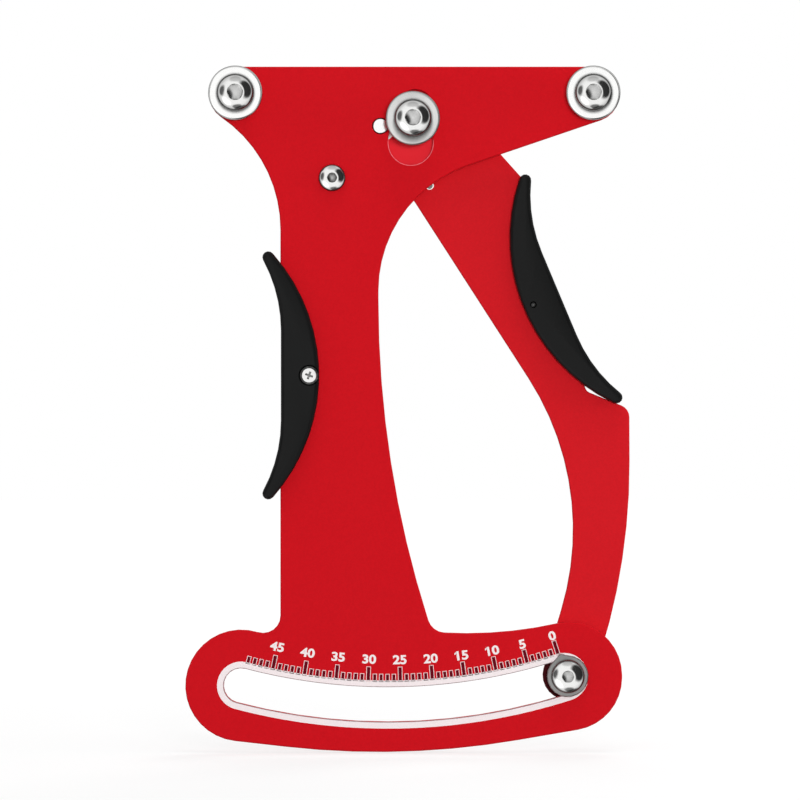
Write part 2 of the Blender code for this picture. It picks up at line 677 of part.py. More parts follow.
def pointer_parts(hinge):
    """Pointer washer, screw, bush in the slot, glide washer and nut at the arm's end."""
    place = (REST_TIP[0] - PIVOT_X, 0, REST_TIP[1] - PIVOT_Z)
    rear = PLATE_FRONT - SEAT_GAP
    front = rear - POINTER_THICK
    pointer = sheet_part("pointer", pointer_discs(), front, rear, hinge, place)
    inner = M5[3] + FIT_GAP
    bore(pointer, 0, 0, inner, front - POINTER_THICK, rear + POINTER_THICK, hinge, place)
    steel(pointer, 0.35)
    bush_front, bush_rear = rear + SEAT_GAP, PLATE_REAR + SEAT_GAP
    steel(tube("pointer_bush", inner, POINTER_BUSH_RADIUS, bush_front, bush_rear, hinge, place))
    glide_front = bush_rear + SEAT_GAP
    glide_rear = ARM_FRONT - SEAT_GAP
    steel(tube("pointer_glide", inner, GLIDE_RADIUS, glide_front, glide_rear, hinge, place, EDGE_BREAK / 2))
    nut_front = ARM_REAR + SEAT_GAP
    seat = front - SEAT_GAP
    length = nut_front + M5_NUT[1] + THREAD_STICK_OUT - seat
    button_screw("pointer_screw", M5, seat, length, hinge, place)
    hex_nut("pointer_nut", M5_NUT, inner, nut_front, hinge, place)


def pivot_parts(frame):
    """Pivot pin set flush in the plate, the washer between the plates and the spring's spool."""
    place = (PIVOT_X, 0, PIVOT_Z)
    coil_rear = COIL_FRONT + COIL_PITCH * (COIL_TURNS + 0.5) + WIRE_RADIUS
    spool_front = ARM_REAR + SEAT_GAP
    head_front = coil_rear + SEAT_GAP
    head_rear = head_front + PIN_HEAD_THICK
    head_break = PIN_HEAD_THICK / 4
    profile = [
        (PLATE_FRONT, 0),
        (PLATE_FRONT, PIVOT_PIN_RADIUS - EDGE_BREAK / 2),
        (PLATE_FRONT + EDGE_BREAK / 2, PIVOT_PIN_RADIUS),
        (head_front, PIVOT_PIN_RADIUS),
        (head_front, PIN_HEAD_RADIUS),
        (head_rear - head_break, PIN_HEAD_RADIUS),
        (head_rear, PIN_HEAD_RADIUS - head_break),
        (head_rear, 0),
    ]
    steel(turned("pivot_pin", profile, frame, place))
    washer_front, washer_rear = PLATE_REAR + SEAT_GAP, ARM_FRONT - SEAT_GAP
    outer = PIVOT_WASHER_RADIUS
    steel(tube("pivot_washer", PIVOT_BORE, outer, washer_front, washer_rear, frame, place, EDGE_BREAK / 2))
    spool_rear = head_front - SEAT_GAP
    steel(tube("spring_spool", PIVOT_BORE, SPOOL_RADIUS, spool_front, spool_rear, frame, place), 0.4)


def spring_points():
    """Centre line of the torsion spring: hooked tip, leg, coil and the leg that bears on the anchor."""
    coil = (*PIVOT, COIL_RADIUS)
    hook = (SPRING_HOLE_X, SPRING_HOLE_Z, 0)
    anchor = (ANCHOR_X, ANCHOR_Z, -(ANCHOR_SLEEVE_RADIUS - ANCHOR_GROOVE_DEPTH + FIT_GAP + WIRE_RADIUS))
    first, last = tangent(hook, coil), tangent(coil, anchor)
    start = on_disc(coil, first)
    leg = math.hypot(start[0] - hook[0], start[1] - hook[1])
    ux, uz = (start[0] - hook[0]) / leg, (start[1] - hook[1]) / leg
    points = [(hook[0], ARM_FRONT + FIT_GAP, hook[1])]
    bend_steps = 5
    for k in range(bend_steps + 1):
        t = math.pi / 2 * k / bend_steps
        out = SPRING_BEND_RADIUS * (1 - math.cos(t))
        depth = COIL_FRONT - SPRING_BEND_RADIUS * (1 - math.sin(t))
        points.append((hook[0] + ux * out, depth, hook[1] + uz * out))
    turn = sweep_of(coil, first, last) + math.tau * COIL_TURNS
    steps = math.ceil(turn / COIL_STEP)
    for k in range(steps + 1):
        x, z = on_disc(coil, first + turn * k / steps)
        points.append((x, COIL_FRONT + COIL_PITCH * turn / math.tau * k / steps, z))
    rear = points[-1][1]
    end = on_disc(anchor, last)
    span = math.hypot(end[0] - points[-1][0], end[1] - points[-1][2])
    share = SPRING_TAIL / span
    x = end[0] + (end[0] - points[-1][0]) * share
    z = end[1] + (end[1] - points[-1][2]) * share
    points.append((x, rear, z))
    return points


def return_spring(frame):
    """Torsion spring of round wire."""
    points = spring_points()
    curve = bpy.data.curves.new("return_spring", "CURVE")
    curve.dimensions = "3D"
    curve.bevel_depth = WIRE_RADIUS
    curve.bevel_resolution = 2
    curve.use_fill_caps = True
    spline = curve.splines.new("POLY")
    spline.points.add(len(points) - 1)
    for point, co in zip(spline.points, points):
        point.co = (*co, 1)
    spring = bpy.data.objects.new("return_spring", curve)
    bpy.context.scene.collection.objects.link(spring)
    spring.parent = frame
    return steel(spring, 0.3)


def anchor_parts(frame):
    """Small screw, grooved sleeve and nut that hold the spring's fixed leg."""
    place = (ANCHOR_X, 0, ANCHOR_Z)
    leg_y = spring_points()[-1][1]
    groove = WIRE_RADIUS + FIT_GAP
    front, rear = PLATE_REAR + SEAT_GAP, leg_y + groove + ANCHOR_LIP
    inner = M4[3] + FIT_GAP
    outer = ANCHOR_SLEEVE_RADIUS
    profile = [
        (front, inner),
        (front, outer),
        (leg_y - groove, outer),
        (leg_y - groove, outer - ANCHOR_GROOVE_DEPTH),
        (leg_y + groove, outer - ANCHOR_GROOVE_DEPTH),
        (leg_y + groove, outer),
        (rear, outer),
        (rear, inner),
    ]
    steel(turned("anchor_sleeve", profile, frame, place, SMALL_ROUND_STEPS), 0.35)
    nut_front = rear + SEAT_GAP
    seat = PLATE_FRONT - SEAT_GAP
    length = nut_front + M4_NUT[1] + THREAD_STICK_OUT - seat
    button_screw("anchor_screw", M4, seat, length, frame, place)
    hex_nut("anchor_nut", M4_NUT, inner, nut_front, frame, place)


def empty(name, parent, place):
    obj = bpy.data.objects.new(name, None)
    bpy.context.scene.collection.objects.link(obj)
    obj.parent = parent
    obj.location = place
    return obj


def main():
    for obj in list(bpy.data.objects):
        bpy.data.objects.remove(obj)
    frame = empty("post_line", None, (0, 0, POST_Z))
    hinge = empty("arm_hinge", frame, (PIVOT_X, 0, PIVOT_Z))
    front_plate(frame)
    for side, x in (("left", -HALF_SPACING), ("right", HALF_SPACING)):
        fixed_post(side, x, frame)
    pivot_parts(frame)
    anchor_parts(frame)
    return_spring(frame)
    plate_middle = (PLATE_FRONT + PLATE_REAR) / 2
    left = grip("left_grip", frame, (LEFT_GRIP_X, LEFT_GRIP_Z), (0, 0, 0), plate_middle)
    grip_screw("left_grip_screw", left)
    arm_plate(hinge, (-PIVOT_X, 0, -PIVOT_Z))
    moving_post(hinge)
    pointer_parts(hinge)
    arm_middle = (ARM_FRONT + ARM_REAR) / 2
    place = (RIGHT_GRIP_X - PIVOT_X, RIGHT_GRIP_Z - PIVOT_Z)
    right = grip("right_grip", hinge, place, (0, RIGHT_GRIP_LEAN, math.pi), arm_middle)
    grip_screw("right_grip_screw", right)


main()
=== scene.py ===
import json
import math

import bmesh
import bpy
from mathutils import Matrix, Vector


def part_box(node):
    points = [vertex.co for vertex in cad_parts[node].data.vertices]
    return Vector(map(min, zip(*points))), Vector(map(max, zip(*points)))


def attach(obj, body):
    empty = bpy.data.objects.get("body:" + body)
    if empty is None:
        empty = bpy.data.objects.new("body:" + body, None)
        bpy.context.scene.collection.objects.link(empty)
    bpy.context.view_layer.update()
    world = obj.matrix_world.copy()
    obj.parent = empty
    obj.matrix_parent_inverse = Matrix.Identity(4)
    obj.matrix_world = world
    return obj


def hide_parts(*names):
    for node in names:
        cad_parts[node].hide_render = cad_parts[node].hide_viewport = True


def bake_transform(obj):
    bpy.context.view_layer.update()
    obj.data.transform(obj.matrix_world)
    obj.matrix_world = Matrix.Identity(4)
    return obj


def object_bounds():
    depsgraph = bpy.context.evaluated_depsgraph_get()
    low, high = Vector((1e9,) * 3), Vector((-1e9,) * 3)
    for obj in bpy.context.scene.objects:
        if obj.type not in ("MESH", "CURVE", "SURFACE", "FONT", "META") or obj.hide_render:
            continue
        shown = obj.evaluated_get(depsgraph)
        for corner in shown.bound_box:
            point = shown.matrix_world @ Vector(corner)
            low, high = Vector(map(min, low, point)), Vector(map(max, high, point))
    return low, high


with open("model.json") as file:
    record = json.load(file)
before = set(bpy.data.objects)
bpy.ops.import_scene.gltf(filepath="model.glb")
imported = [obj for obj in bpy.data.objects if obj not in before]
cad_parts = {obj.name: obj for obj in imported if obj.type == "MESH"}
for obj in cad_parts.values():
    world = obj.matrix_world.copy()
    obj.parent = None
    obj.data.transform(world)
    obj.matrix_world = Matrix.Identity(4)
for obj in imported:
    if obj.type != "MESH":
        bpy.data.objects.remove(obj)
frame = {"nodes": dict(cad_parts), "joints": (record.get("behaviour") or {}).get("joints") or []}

MM = 0.001
cad_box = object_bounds()
FIXED = "frame"
SWINGING = "arm"
PIVOT = Vector(frame["joints"][0]["pos_m"])
PLATE_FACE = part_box("front_plate")[0].y
ARM_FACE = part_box("arm_plate")[0].y
ARM_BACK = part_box("arm_plate")[1].y

# Camera: straight at the front
CAMERA_DISTANCE = 1.6
SENSOR_WIDTH = 36.0
VIEW_WIDTH = 228.0 * MM
VIEW_CENTRE = Vector((-4.06 * MM, PLATE_FACE, -82.2 * MM))

# Light from all round, for matt surfaces and for what bright metal mirrors
SKY_LEVEL = 0.40
MIRROR_LEVEL = 1.1
# Panels that bright metal mirrors: direction, the cosines where each starts and is full, and its share of
# the light
PANELS = (
    (Vector((0.0, 1.0, 0.0)), -0.80, -0.10, 0.60),
    (Vector((0.70, -0.67, 0.25)), 0.77, 0.90, 0.03),
    (Vector((0.00, -0.55, 0.83)), 0.90, 0.97, 0.60),
    (Vector((-0.80, -0.58, 0.15)), 0.92, 0.98, 0.12),
    (Vector((0.10, -0.52, -0.85)), 0.94, 0.98, 0.20),
    (Vector((-0.55, -0.65, -0.52)), 0.93, 0.97, 1.60),
    (Vector((0.30, -0.15, -0.94)), 0.90, 0.96, 0.15),
    (Vector((0.92, 0.20, -0.33)), 0.90, 0.95, 0.20),
    (Vector((-0.70, 0.60, -0.39)), 0.90, 0.95, 0.20),
    (Vector((0.45, 0.80, 0.40)), 0.90, 0.95, 0.25),
    (Vector((-0.35, 0.55, 0.76)), 0.93, 0.97, 0.30),
)
# Lamps: place, width and power
LAMPS = {
    "key": ((0.10, -1.3, 0.0), 0.2, 9.3),
    "top": ((0.1, -0.25, 0.9), 0.5, 2.5),
    "right": ((0.9, -0.1, 0.0), 0.5, 2.5),
    "back": ((0.2, 0.9, 0.6), 0.6, 4.5),
}

# Floor: drop below the object, half width, tone, and its glow near the object and far from it
FLOOR_DROP = 0.3 * MM
FLOOR_HALF = 4.0
FLOOR_TONE = 0.35
FLOOR_NEAR = (0.2, 0.69)
FLOOR_FAR = (2.2, 0.92)

# Rounded edges of the solids
PLATE_EDGE = 0.16 * MM
GRIP_EDGE = 0.15 * MM
METAL_EDGE = 0.08 * MM

# Printed scale, measured from the middle of the slot's arc
SLOT_CENTRE = PIVOT + Vector((2.05 * MM, 0, -0.3 * MM))
SLOT_RADIUS = 164.6 * MM
SLOT_HALF = 4.95 * MM
SLOT_RIGHT = math.radians(17.8)
SLOT_LEFT = math.radians(-14.7)
SCALE_START = math.radians(17.92)
UNIT_STEP = math.radians(0.664)
UNIT_COUNT = 50
LONG_EVERY = 5
SHORT_TICK = (155.8 * MM, 158.2 * MM, 1.3 * MM)
LONG_TICK = (153.8 * MM, 158.2 * MM, 1.4 * MM)
TICK_LINE = 0.27 * MM
EDGE_LINE = 0.2 * MM
BAND_OUTER = 1.9 * MM
NUMBER_RADIUS = 152.4 * MM
NUMBER_DRIFT = 0.022 * MM
NUMBER_HEIGHT = 2.65 * MM
NUMBER_WIDEN = 1.17
NUMBER_BOLD = 0.035
INK_LIFT = 0.03 * MM
INK_ROOT = 0.02 * MM
TEXT_HALF = 0.01

# Attributes on turned pieces: place about the own axis, and share of painted shade with some grime
OWN_PLACE = "own_place"
SHADE_AND_GRIME = "grime"
# How dark the full share of painted shade makes a colour
SHADE_AND_GRIME_TONE = 0.07
# Painted shade in screw sockets: share on the walls, in the corners and on the bottom
SOCKET_SHADE = (0.4, 1.0, 0.5)
# Painted shade in a band round the foot of a screw head, FOOT_BAND of its radius wide
HEAD_FOOT_SHADE = 0.9
# Painted shadow round the foot of a post's head, and painted shade on the flange's front rim
POST_FOOT_SHADE = 0.85
FOOT_BAND = 0.09
FLANGE_RIM_SHADE = 0.6
# Painted shadow round a post's head: its width beside the head, and how far it reaches below the head
FOOT_SHADE = 0.45 * MM
POST_SHADOW_REACH = {"left_post": 0.9 * MM, "moving_post": 2.1 * MM}

# Window for the sprung post
WINDOW_MIDDLE = Vector((-1.0 * MM, PLATE_FACE, -8.9 * MM))
WINDOW_RADIUS = 6.4 * MM

# Turned posts
POST_BORE = 3.3 * MM
GROOVE_WIDTH = 4.2 * MM
NECK_RADIUS = 4.0 * MM
GROOVE_FLANK = 0.9 * MM
FLANGE_EDGE = 0.45 * MM
POST_FEET = {"left_post": 6.2 * MM, "moving_post": 4.5 * MM}
FINE_STEPS = 128
SOFT_EDGE = 0.12 * MM

# Button-head screws: head height, socket across flats, shank radius, thread pitch, and share of painted shade
# in the socket
M6 = (3.3 * MM, 4.0 * MM, 3.0 * MM, 1.0 * MM, 0.5)
M5 = (2.75 * MM, 3.0 * MM, 2.5 * MM, 0.8 * MM, 0.6)
M4 = (2.2 * MM, 2.5 * MM, 2.0 * MM, 0.7 * MM, 1.0)
SOCKET_RIM = 0.3 * MM
SOCKET_DEPTH = 0.62
DOME_FOOT = 0.4
DOME_CONE = 0.3
THREAD_RUN = 1.8 * MM
THREAD_DEPTH = 0.34
THREAD_SINK = 0.62

# Nuts: share of the width across flats where the corners' chamfer starts, and the countersink
NUT_CHAMFER = 0.97
NUT_SINK = 0.5 * MM
M5_BORE = 2.8 * MM
M4_BORE = 2.3 * MM

# Pin that the arm turns on
PIN_RADIUS = 2.05 * MM
PIN_BORE = 2.35 * MM
PIN_CHAMFER = 0.1 * MM
PIN_HEAD_THICK = 1.6 * MM
PIN_HEAD_STRAIGHT = 0.7 * MM
PIN_HEAD_CROWN = 0.9 * MM
PIN_HEAD_EASE = 1.6 * MM

# Grip screws
CROSS_FACE = 2.15 * MM
CROSS_RIM_DROP = 0.5 * MM
CROSS_HEAD_DEPTH = 1.6 * MM
CROSS_SHANK = 1.45 * MM
CROSS_REACH = 1.4 * MM
CROSS_WIDTH = 0.75 * MM
CROSS_DEPTH = 0.9 * MM
CROSS_TURN = math.radians(20.0)

# Return spring
SPRING_HOLE = (4.4 * MM, -20.9 * MM)
WIRE_RADIUS = 0.9 * MM
COIL_RADIUS = 5.2 * MM
COIL_PITCH = 1.95 * MM
COIL_TURNS = 3
HOOK_BEND = 1.6 * MM
LEG_PAST = 5.0 * MM
WIRE_GAP = 0.3 * MM
SLEEVE_GROOVE = 2.8 * MM


def centre(node):
    """Middle of a node's box."""
    low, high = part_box(node)
    return (low + high) / 2


def add(tree, kind, sockets=(), **settings):
    """A node; sockets pairs an input's name or place with a value or with another node's output."""
    made = tree.nodes.new(kind)
    for key, value in settings.items():
        setattr(made, key, value)
    for key, value in dict(sockets).items():
        if isinstance(value, bpy.types.NodeSocket):
            tree.links.new(value, made.inputs[key])
        else:
            made.inputs[key].default_value = value
    return made


def sum_of(tree, kind, a, b):
    """Output of a Math node that joins a and b."""
    return add(tree, "ShaderNodeMath", {0: a, 1: b}, operation=kind).outputs[0]


# Finishes
def plain_finish(name, colour, metallic, roughness, specular):
    """Material of one tone, with its tree and its shader."""
    material = bpy.data.materials.new(name)
    material.use_nodes = True
    shader = material.node_tree.nodes["Principled BSDF"]
    shader.inputs["Base Color"].default_value = (*colour, 1)
    shader.inputs["Metallic"].default_value = metallic
    shader.inputs["Roughness"].default_value = roughness
    shader.inputs["Specular IOR Level"].default_value = specular
    material.diffuse_color = (*colour, 1)
    return material, material.node_tree, shader


def noise(tree, vector, scale, detail=2.0, rough=0.5):
    """Factor of a noise texture."""
    sockets = {"Vector": vector, "Scale": scale, "Detail": detail, "Roughness": rough}
    return add(tree, "ShaderNodeTexNoise", sockets).outputs["Fac"]


def spread(tree, factor, low, high):
    """Map a 0 to 1 factor to a range."""
    sockets = {"Value": factor, "From Min": 0.3, "From Max": 0.7, "To Min": low, "To Max": high}
    return add(tree, "ShaderNodeMapRange", sockets).outputs[0]


def mottle(tree, shader, factor, colour, share):
    """Vary the base colour a little between a darker and a lighter tone."""
    dark = (*[c * (1 - share) for c in colour], 1)
    light = (*[min(1.0, c * (1 + share)) for c in colour], 1)
    mixed = add(tree, "ShaderNodeMix", {"Factor": factor, 6: dark, 7: light}, data_type="RGBA")
    tree.links.new(mixed.outputs[2], shader.inputs["Base Color"])
    return mixed


def bump(tree, shader, height, strength, distance):
    """Fine relief from a height."""
    sockets = {"Height": height, "Strength": strength, "Distance": distance}
    made = add(tree, "ShaderNodeBump", sockets)
    tree.links.new(made.outputs[0], shader.inputs["Normal"])
    return made


def powder_coat(name, colour, *rings):
    """Satin red powder coat: fine orange peel, faint speckle and uneven gloss.

    A ring is a band or spot of painted light or painted shade on the front face: its middle, its inner and
    outer radius, its soft edge, how far up it reaches and its colour.
    """
    material, tree, shader = plain_finish(name, colour, 0.0, 0.42, 0.06)
    place = add(tree, "ShaderNodeTexCoord").outputs["Object"]
    speckle = noise(tree, place, 1600.0, 3.0, 0.65)
    paint = mottle(tree, shader, spread(tree, speckle, 0.0, 1.0), colour, 0.05)
    for middle, inner, outer, soft, top, light_or_shade_tone in rings:
        offset = add(tree, "ShaderNodeMapping", {"Vector": place, "Location": -middle}).outputs[0]
        parts = add(tree, "ShaderNodeSeparateXYZ", {0: offset}).outputs
        across = add(tree, "ShaderNodeCombineXYZ", {0: parts[0], 2: parts[2]}).outputs[0]
        away = add(tree, "ShaderNodeVectorMath", {0: across}, operation="LENGTH").outputs["Value"]
        share = 1.0
        limits = (
            (away, inner - soft, inner),
            (away, outer + soft, outer),
            (parts[2], top, top - MM),
            (parts[1], 0.5 * MM, 0.3 * MM),
        )
        for value, start, end in limits:
            sockets = {"Value": value, "From Min": start, "From Max": end, "To Min": 0.0, "To Max": 1.0}
            share = sum_of(tree, "MULTIPLY", add(tree, "ShaderNodeMapRange", sockets).outputs[0], share)
        sockets = {"Factor": share, 6: paint.outputs[2], 7: (*light_or_shade_tone, 1)}
        paint = add(tree, "ShaderNodeMix", sockets, data_type="RGBA")
        tree.links.new(paint.outputs[2], shader.inputs["Base Color"])
    cloud = noise(tree, place, 45.0, 3.0)
    tree.links.new(spread(tree, cloud, 0.38, 0.48), shader.inputs["Roughness"])
    peel = noise(tree, place, 1900.0, 2.0)
    bump(tree, shader, peel, 0.16, 0.05 * MM)
    return material


def grimed(tree, shader, colour, roughness):
    """Painted shade with some grime: darker base colour and duller gloss in sockets and round the foot of a
    head.
    """
    dirt = add(tree, "ShaderNodeAttribute", attribute_name=SHADE_AND_GRIME).outputs["Fac"]
    place = add(tree, "ShaderNodeTexCoord").outputs["Object"]
    patches = spread(tree, noise(tree, place, 1500.0, 3.0, 0.6), 0.88, 1.08)
    dirt = sum_of(tree, "MINIMUM", sum_of(tree, "MULTIPLY", dirt, patches), 1.0)
    sockets = {"Factor": dirt, 6: (*colour, 1), 7: (*[c * SHADE_AND_GRIME_TONE for c in colour], 1)}
    mixed = add(tree, "ShaderNodeMix", sockets, data_type="RGBA")
    tree.links.new(mixed.outputs[2], shader.inputs["Base Color"])
    duller = sum_of(tree, "ADD", roughness, sum_of(tree, "MULTIPLY", dirt, 0.2))
    tree.links.new(duller, shader.inputs["Roughness"])


def turned_steel(name, colour, roughness, drag=0.0):
    """Bright turned steel with fine rings round its own axis; drag stretches its gloss across the rings."""
    material, tree, shader = plain_finish(name, colour, 1.0, roughness, 0.5)
    own = add(tree, "ShaderNodeAttribute", attribute_name=OWN_PLACE).outputs["Vector"]
    parts = add(tree, "ShaderNodeSeparateXYZ", {0: own}).outputs
    across = add(tree, "ShaderNodeCombineXYZ", {0: parts[0], 2: parts[2]}).outputs[0]
    radius = add(tree, "ShaderNodeVectorMath", {0: across}, operation="LENGTH").outputs["Value"]
    sockets = {"W": radius, "Scale": 9000.0, "Detail": 2.0}
    rings = add(tree, "ShaderNodeTexNoise", sockets, noise_dimensions="1D")
    wear = noise(tree, own, 700.0, 4.0, 0.6)
    mixed = sum_of(tree, "MULTIPLY", rings.outputs["Fac"], 0.7)
    mixed = sum_of(tree, "ADD", mixed, sum_of(tree, "MULTIPLY", wear, 0.3))
    grimed(tree, shader, colour, spread(tree, mixed, roughness * 0.7, roughness * 1.4))
    bump(tree, shader, rings.outputs["Fac"], 0.12, 0.02 * MM)
    if drag:
        sockets = {0: own, 1: (0, 1, 0)}
        round_axis = add(tree, "ShaderNodeVectorMath", sockets, operation="CROSS_PRODUCT").outputs[0]
        to_world = {"convert_from": "OBJECT", "convert_to": "WORLD"}
        tangent = add(tree, "ShaderNodeVectorTransform", {0: round_axis}, **to_world).outputs[0]
        tree.links.new(tangent, shader.inputs["Tangent"])
        shader.inputs["Anisotropic"].default_value = drag
    return material


def bright_plate(name, colour=(0.80, 0.80, 0.79), roughness=0.09):
    """Bright plating on screws and nuts, with faint handling marks."""
    material, tree, shader = plain_finish(name, colour, 1.0, roughness, 0.5)
    place = add(tree, "ShaderNodeTexCoord").outputs["Object"]
    marks = noise(tree, place, 900.0, 5.0, 0.7)
    grimed(tree, shader, colour, spread(tree, marks, roughness * 0.6, roughness * 2.0))
    bump(tree, shader, noise(tree, place, 2500.0), 0.05, 0.02 * MM)
    return material


def moulded_plastic(name, colour):
    """Black moulded plastic with a fine spark-eroded grain."""
    material, tree, shader = plain_finish(name, colour, 0.0, 0.34, 0.12)
    place = add(tree, "ShaderNodeTexCoord").outputs["Object"]
    grain = noise(tree, place, 5200.0, 3.0, 0.6)
    cloud = noise(tree, place, 120.0, 3.0)
    mottle(tree, shader, spread(tree, cloud, 0.0, 1.0), colour, 0.10)
    tree.links.new(spread(tree, cloud, 0.30, 0.40), shader.inputs["Roughness"])
    bump(tree, shader, grain, 0.22, 0.04 * MM)
    return material


def printed_ink(name, colour):
    """Screen-printed ink with slightly uneven cover."""
    material, tree, shader = plain_finish(name, colour, 0.0, 0.55, 0.06)
    place = add(tree, "ShaderNodeTexCoord").outputs["Object"]
    cover = noise(tree, place, 2600.0, 3.0, 0.7)
    mottle(tree, shader, spread(tree, cover, 0.0, 1.0), colour, 0.05)
    bump(tree, shader, cover, 0.08, 0.02 * MM)
    return material


# Mesh helpers
def marked(piece, dirt=None, axis=Vector()):
    """Keep each point's place about the piece's own axis, and its share of painted shade with some grime."""
    mesh = piece.data
    places = [c for point in mesh.vertices for c in point.co - axis]
    mesh.attributes.new(OWN_PLACE, "FLOAT_VECTOR", "POINT").data.foreach_set("vector", places)
    shares = [dirt(p.co) if dirt else 0.0 for p in mesh.vertices]
    mesh.attributes.new(SHADE_AND_GRIME, "FLOAT", "POINT").data.foreach_set("value", shares)
    return piece


def off_axis(place):
    """Distance from the Y axis."""
    return math.hypot(place.x, place.z)


def shade(mesh, angle=32.0):
    """Smooth shading that keeps edges above the angle sharp."""
    mesh.shade_smooth()
    mesh.set_sharp_from_angle(angle=math.radians(angle))


def object_of(name, mesh):
    """New object in the scene."""
    made = bpy.data.objects.new(name, mesh)
    bpy.context.scene.collection.objects.link(made)
    return made


def mesh_of(name, bm):
    """Mesh from a bmesh, which is used up, with faces turned outward."""
    bmesh.ops.remove_doubles(bm, verts=bm.verts, dist=1e-7)
    bmesh.ops.recalc_face_normals(bm, faces=bm.faces)
    mesh = bpy.data.meshes.new(name)
    bm.to_mesh(mesh)
    bm.free()
    return mesh


def settled(host, name, angle=32.0):
    """Plain object with the evaluated mesh of host, which is then removed."""
    bpy.context.view_layer.update()
    graph = bpy.context.evaluated_depsgraph_get()
    mesh = bpy.data.meshes.new_from_object(host.evaluated_get(graph), depsgraph=graph)
    bpy.data.objects.remove(host)
    mesh.name = name
    if angle:
        shade(mesh, angle)
    return object_of(name, mesh)


def softened(host, width, limit=28.0, segments=2):
    """Round a host's sharp edges."""
    modifier = host.modifiers.new("soft_edges", "BEVEL")
    modifier.width = width
    modifier.segments = segments
    modifier.limit_method = "ANGLE"
    modifier.angle_limit = math.radians(limit)
    modifier.use_clamp_overlap = True
    return host


def cut(host, cutter, operation="DIFFERENCE"):
    """Boolean with a cutter that is used up."""
    modifier = host.modifiers.new("cut", "BOOLEAN")
    modifier.operation = operation
    modifier.solver = "EXACT"
    modifier.object = cutter
    cut_host = settled(host, host.name)
    bpy.data.objects.remove(cutter)
    return cut_host


def turned(name, profile, steps=FINE_STEPS):
    """Solid of revolution about Y from (y, radius) pairs; it closes on itself if no radius is zero."""
    bm = bmesh.new()
    turns = [math.tau * k / steps for k in range(steps)]
    rings = []
    for y, radius in profile:
        if radius == 0:
            rings.append([bm.verts.new((0, y, 0))])
        else:
            rings.append([bm.verts.new((radius * math.cos(t), y, radius * math.sin(t))) for t in turns])
    pairs = list(zip(rings, rings[1:]))
    if len(rings[0]) > 1:
        pairs.append((rings[-1], rings[0]))
    for lower, upper in pairs:
        for i in range(steps):
            corners = [lower[i % len(lower)], lower[(i + 1) % len(lower)]]
            corners += [upper[(i + 1) % len(upper)], upper[i % len(upper)]]
            bm.faces.new(list(dict.fromkeys(corners)))
    return object_of(name, mesh_of(name, bm))


def hexagon_bar(name, across, front, rear, tip=0.0):
    """Hexagonal bar along Y, with a pointed rear end if tip isn't zero."""
    bm = bmesh.new()
    radius = across / math.sqrt(3)
    rings = []
    for y in (front, rear):
        turns = [math.tau * k / 6 for k in range(6)]
        rings.append([bm.verts.new((radius * math.cos(t), y, radius * math.sin(t))) for t in turns])
    for i in range(6):
        j = (i + 1) % 6
        bm.faces.new((rings[0][i], rings[0][j], rings[1][j], rings[1][i]))
    bm.faces.new(rings[0])
    if tip:
        point = bm.verts.new((0, rear + tip, 0))
        for i in range(6):
            bm.faces.new((rings[1][i], rings[1][(i + 1) % 6], point))
    else:
        bm.faces.new(rings[1])
    return object_of(name, mesh_of(name, bm))


def joined(name, pieces):
    """One mesh object from several, which are used up."""
    bm = bmesh.new()
    for piece in pieces:
        bm.from_mesh(piece.data)
        bpy.data.objects.remove(piece)
    mesh = bpy.data.meshes.new(name)
    bm.to_mesh(mesh)
    bm.free()
    shade(mesh)
    return object_of(name, mesh)


def turn_mesh(piece, matrix):
    """Move or turn a piece's mesh and leave its object at the origin."""
    piece.data.transform(matrix)
    return piece


# Geometry node trees
def new_tree(name, inputs):
    """Tree with one geometry in, the named inputs, and one geometry out."""
    tree = bpy.data.node_groups.new(name, "GeometryNodeTree")
    tree.interface.new_socket("Geometry", in_out="INPUT", socket_type="NodeSocketGeometry")
    for label, kind in inputs:
        tree.interface.new_socket(label, in_out="INPUT", socket_type=f"NodeSocket{kind}")
    tree.interface.new_socket("Geometry", in_out="OUTPUT", socket_type="NodeSocketGeometry")
    return tree, add(tree, "NodeGroupInput").outputs


def end_tree(tree, geometry, material):
    """Realize the instances, set the material and lead out."""
    real = add(tree, "GeometryNodeRealizeInstances", {0: geometry}).outputs[0]
    painted = add(tree, "GeometryNodeSetMaterial", {0: real, "Material": material}).outputs[0]
    add(tree, "NodeGroupOutput", {0: painted})
    return tree


def grown(name, tree, values, mesh=None, angle=32.0):
    """Plain object made by a tree from a start mesh and its inputs' values."""
    host = object_of(f"{name}_host", mesh or bpy.data.meshes.new(name))
    modifier = host.modifiers.new("grow", "NODES")
    modifier.node_group = tree
    for item in tree.interface.items_tree:
        if item.in_out == "INPUT" and item.name in values:
            modifier[item.identifier] = values[item.name]
    return settled(host, name, angle)


def set_out_tree():
    """Copies of a pattern piece at each point of the start mesh."""
    tree, given = new_tree("set_out", [("Pattern", "Object"), ("Material", "Material")])
    pattern = add(tree, "GeometryNodeObjectInfo", {"Object": given["Pattern"]}).outputs["Geometry"]
    copies = add(tree, "GeometryNodeInstanceOnPoints", {"Points": given["Geometry"], "Instance": pattern})
    return end_tree(tree, copies.outputs[0], given["Material"])


def wire_tree():
    """Round wire swept along the start mesh's edges."""
    inputs = [("Wire radius", "Float"), ("Sides", "Int"), ("Material", "Material")]
    tree, given = new_tree("wire", inputs)
    path = add(tree, "GeometryNodeMeshToCurve", {0: given["Geometry"]}).outputs[0]
    sockets = {"Resolution": given["Sides"], "Radius": given["Wire radius"]}
    section = add(tree, "GeometryNodeCurvePrimitiveCircle", sockets).outputs[0]
    swept = add(tree, "GeometryNodeCurveToMesh", {"Curve": path, "Profile Curve": section, "Fill Caps": True})
    return end_tree(tree, swept.outputs[0], given["Material"])


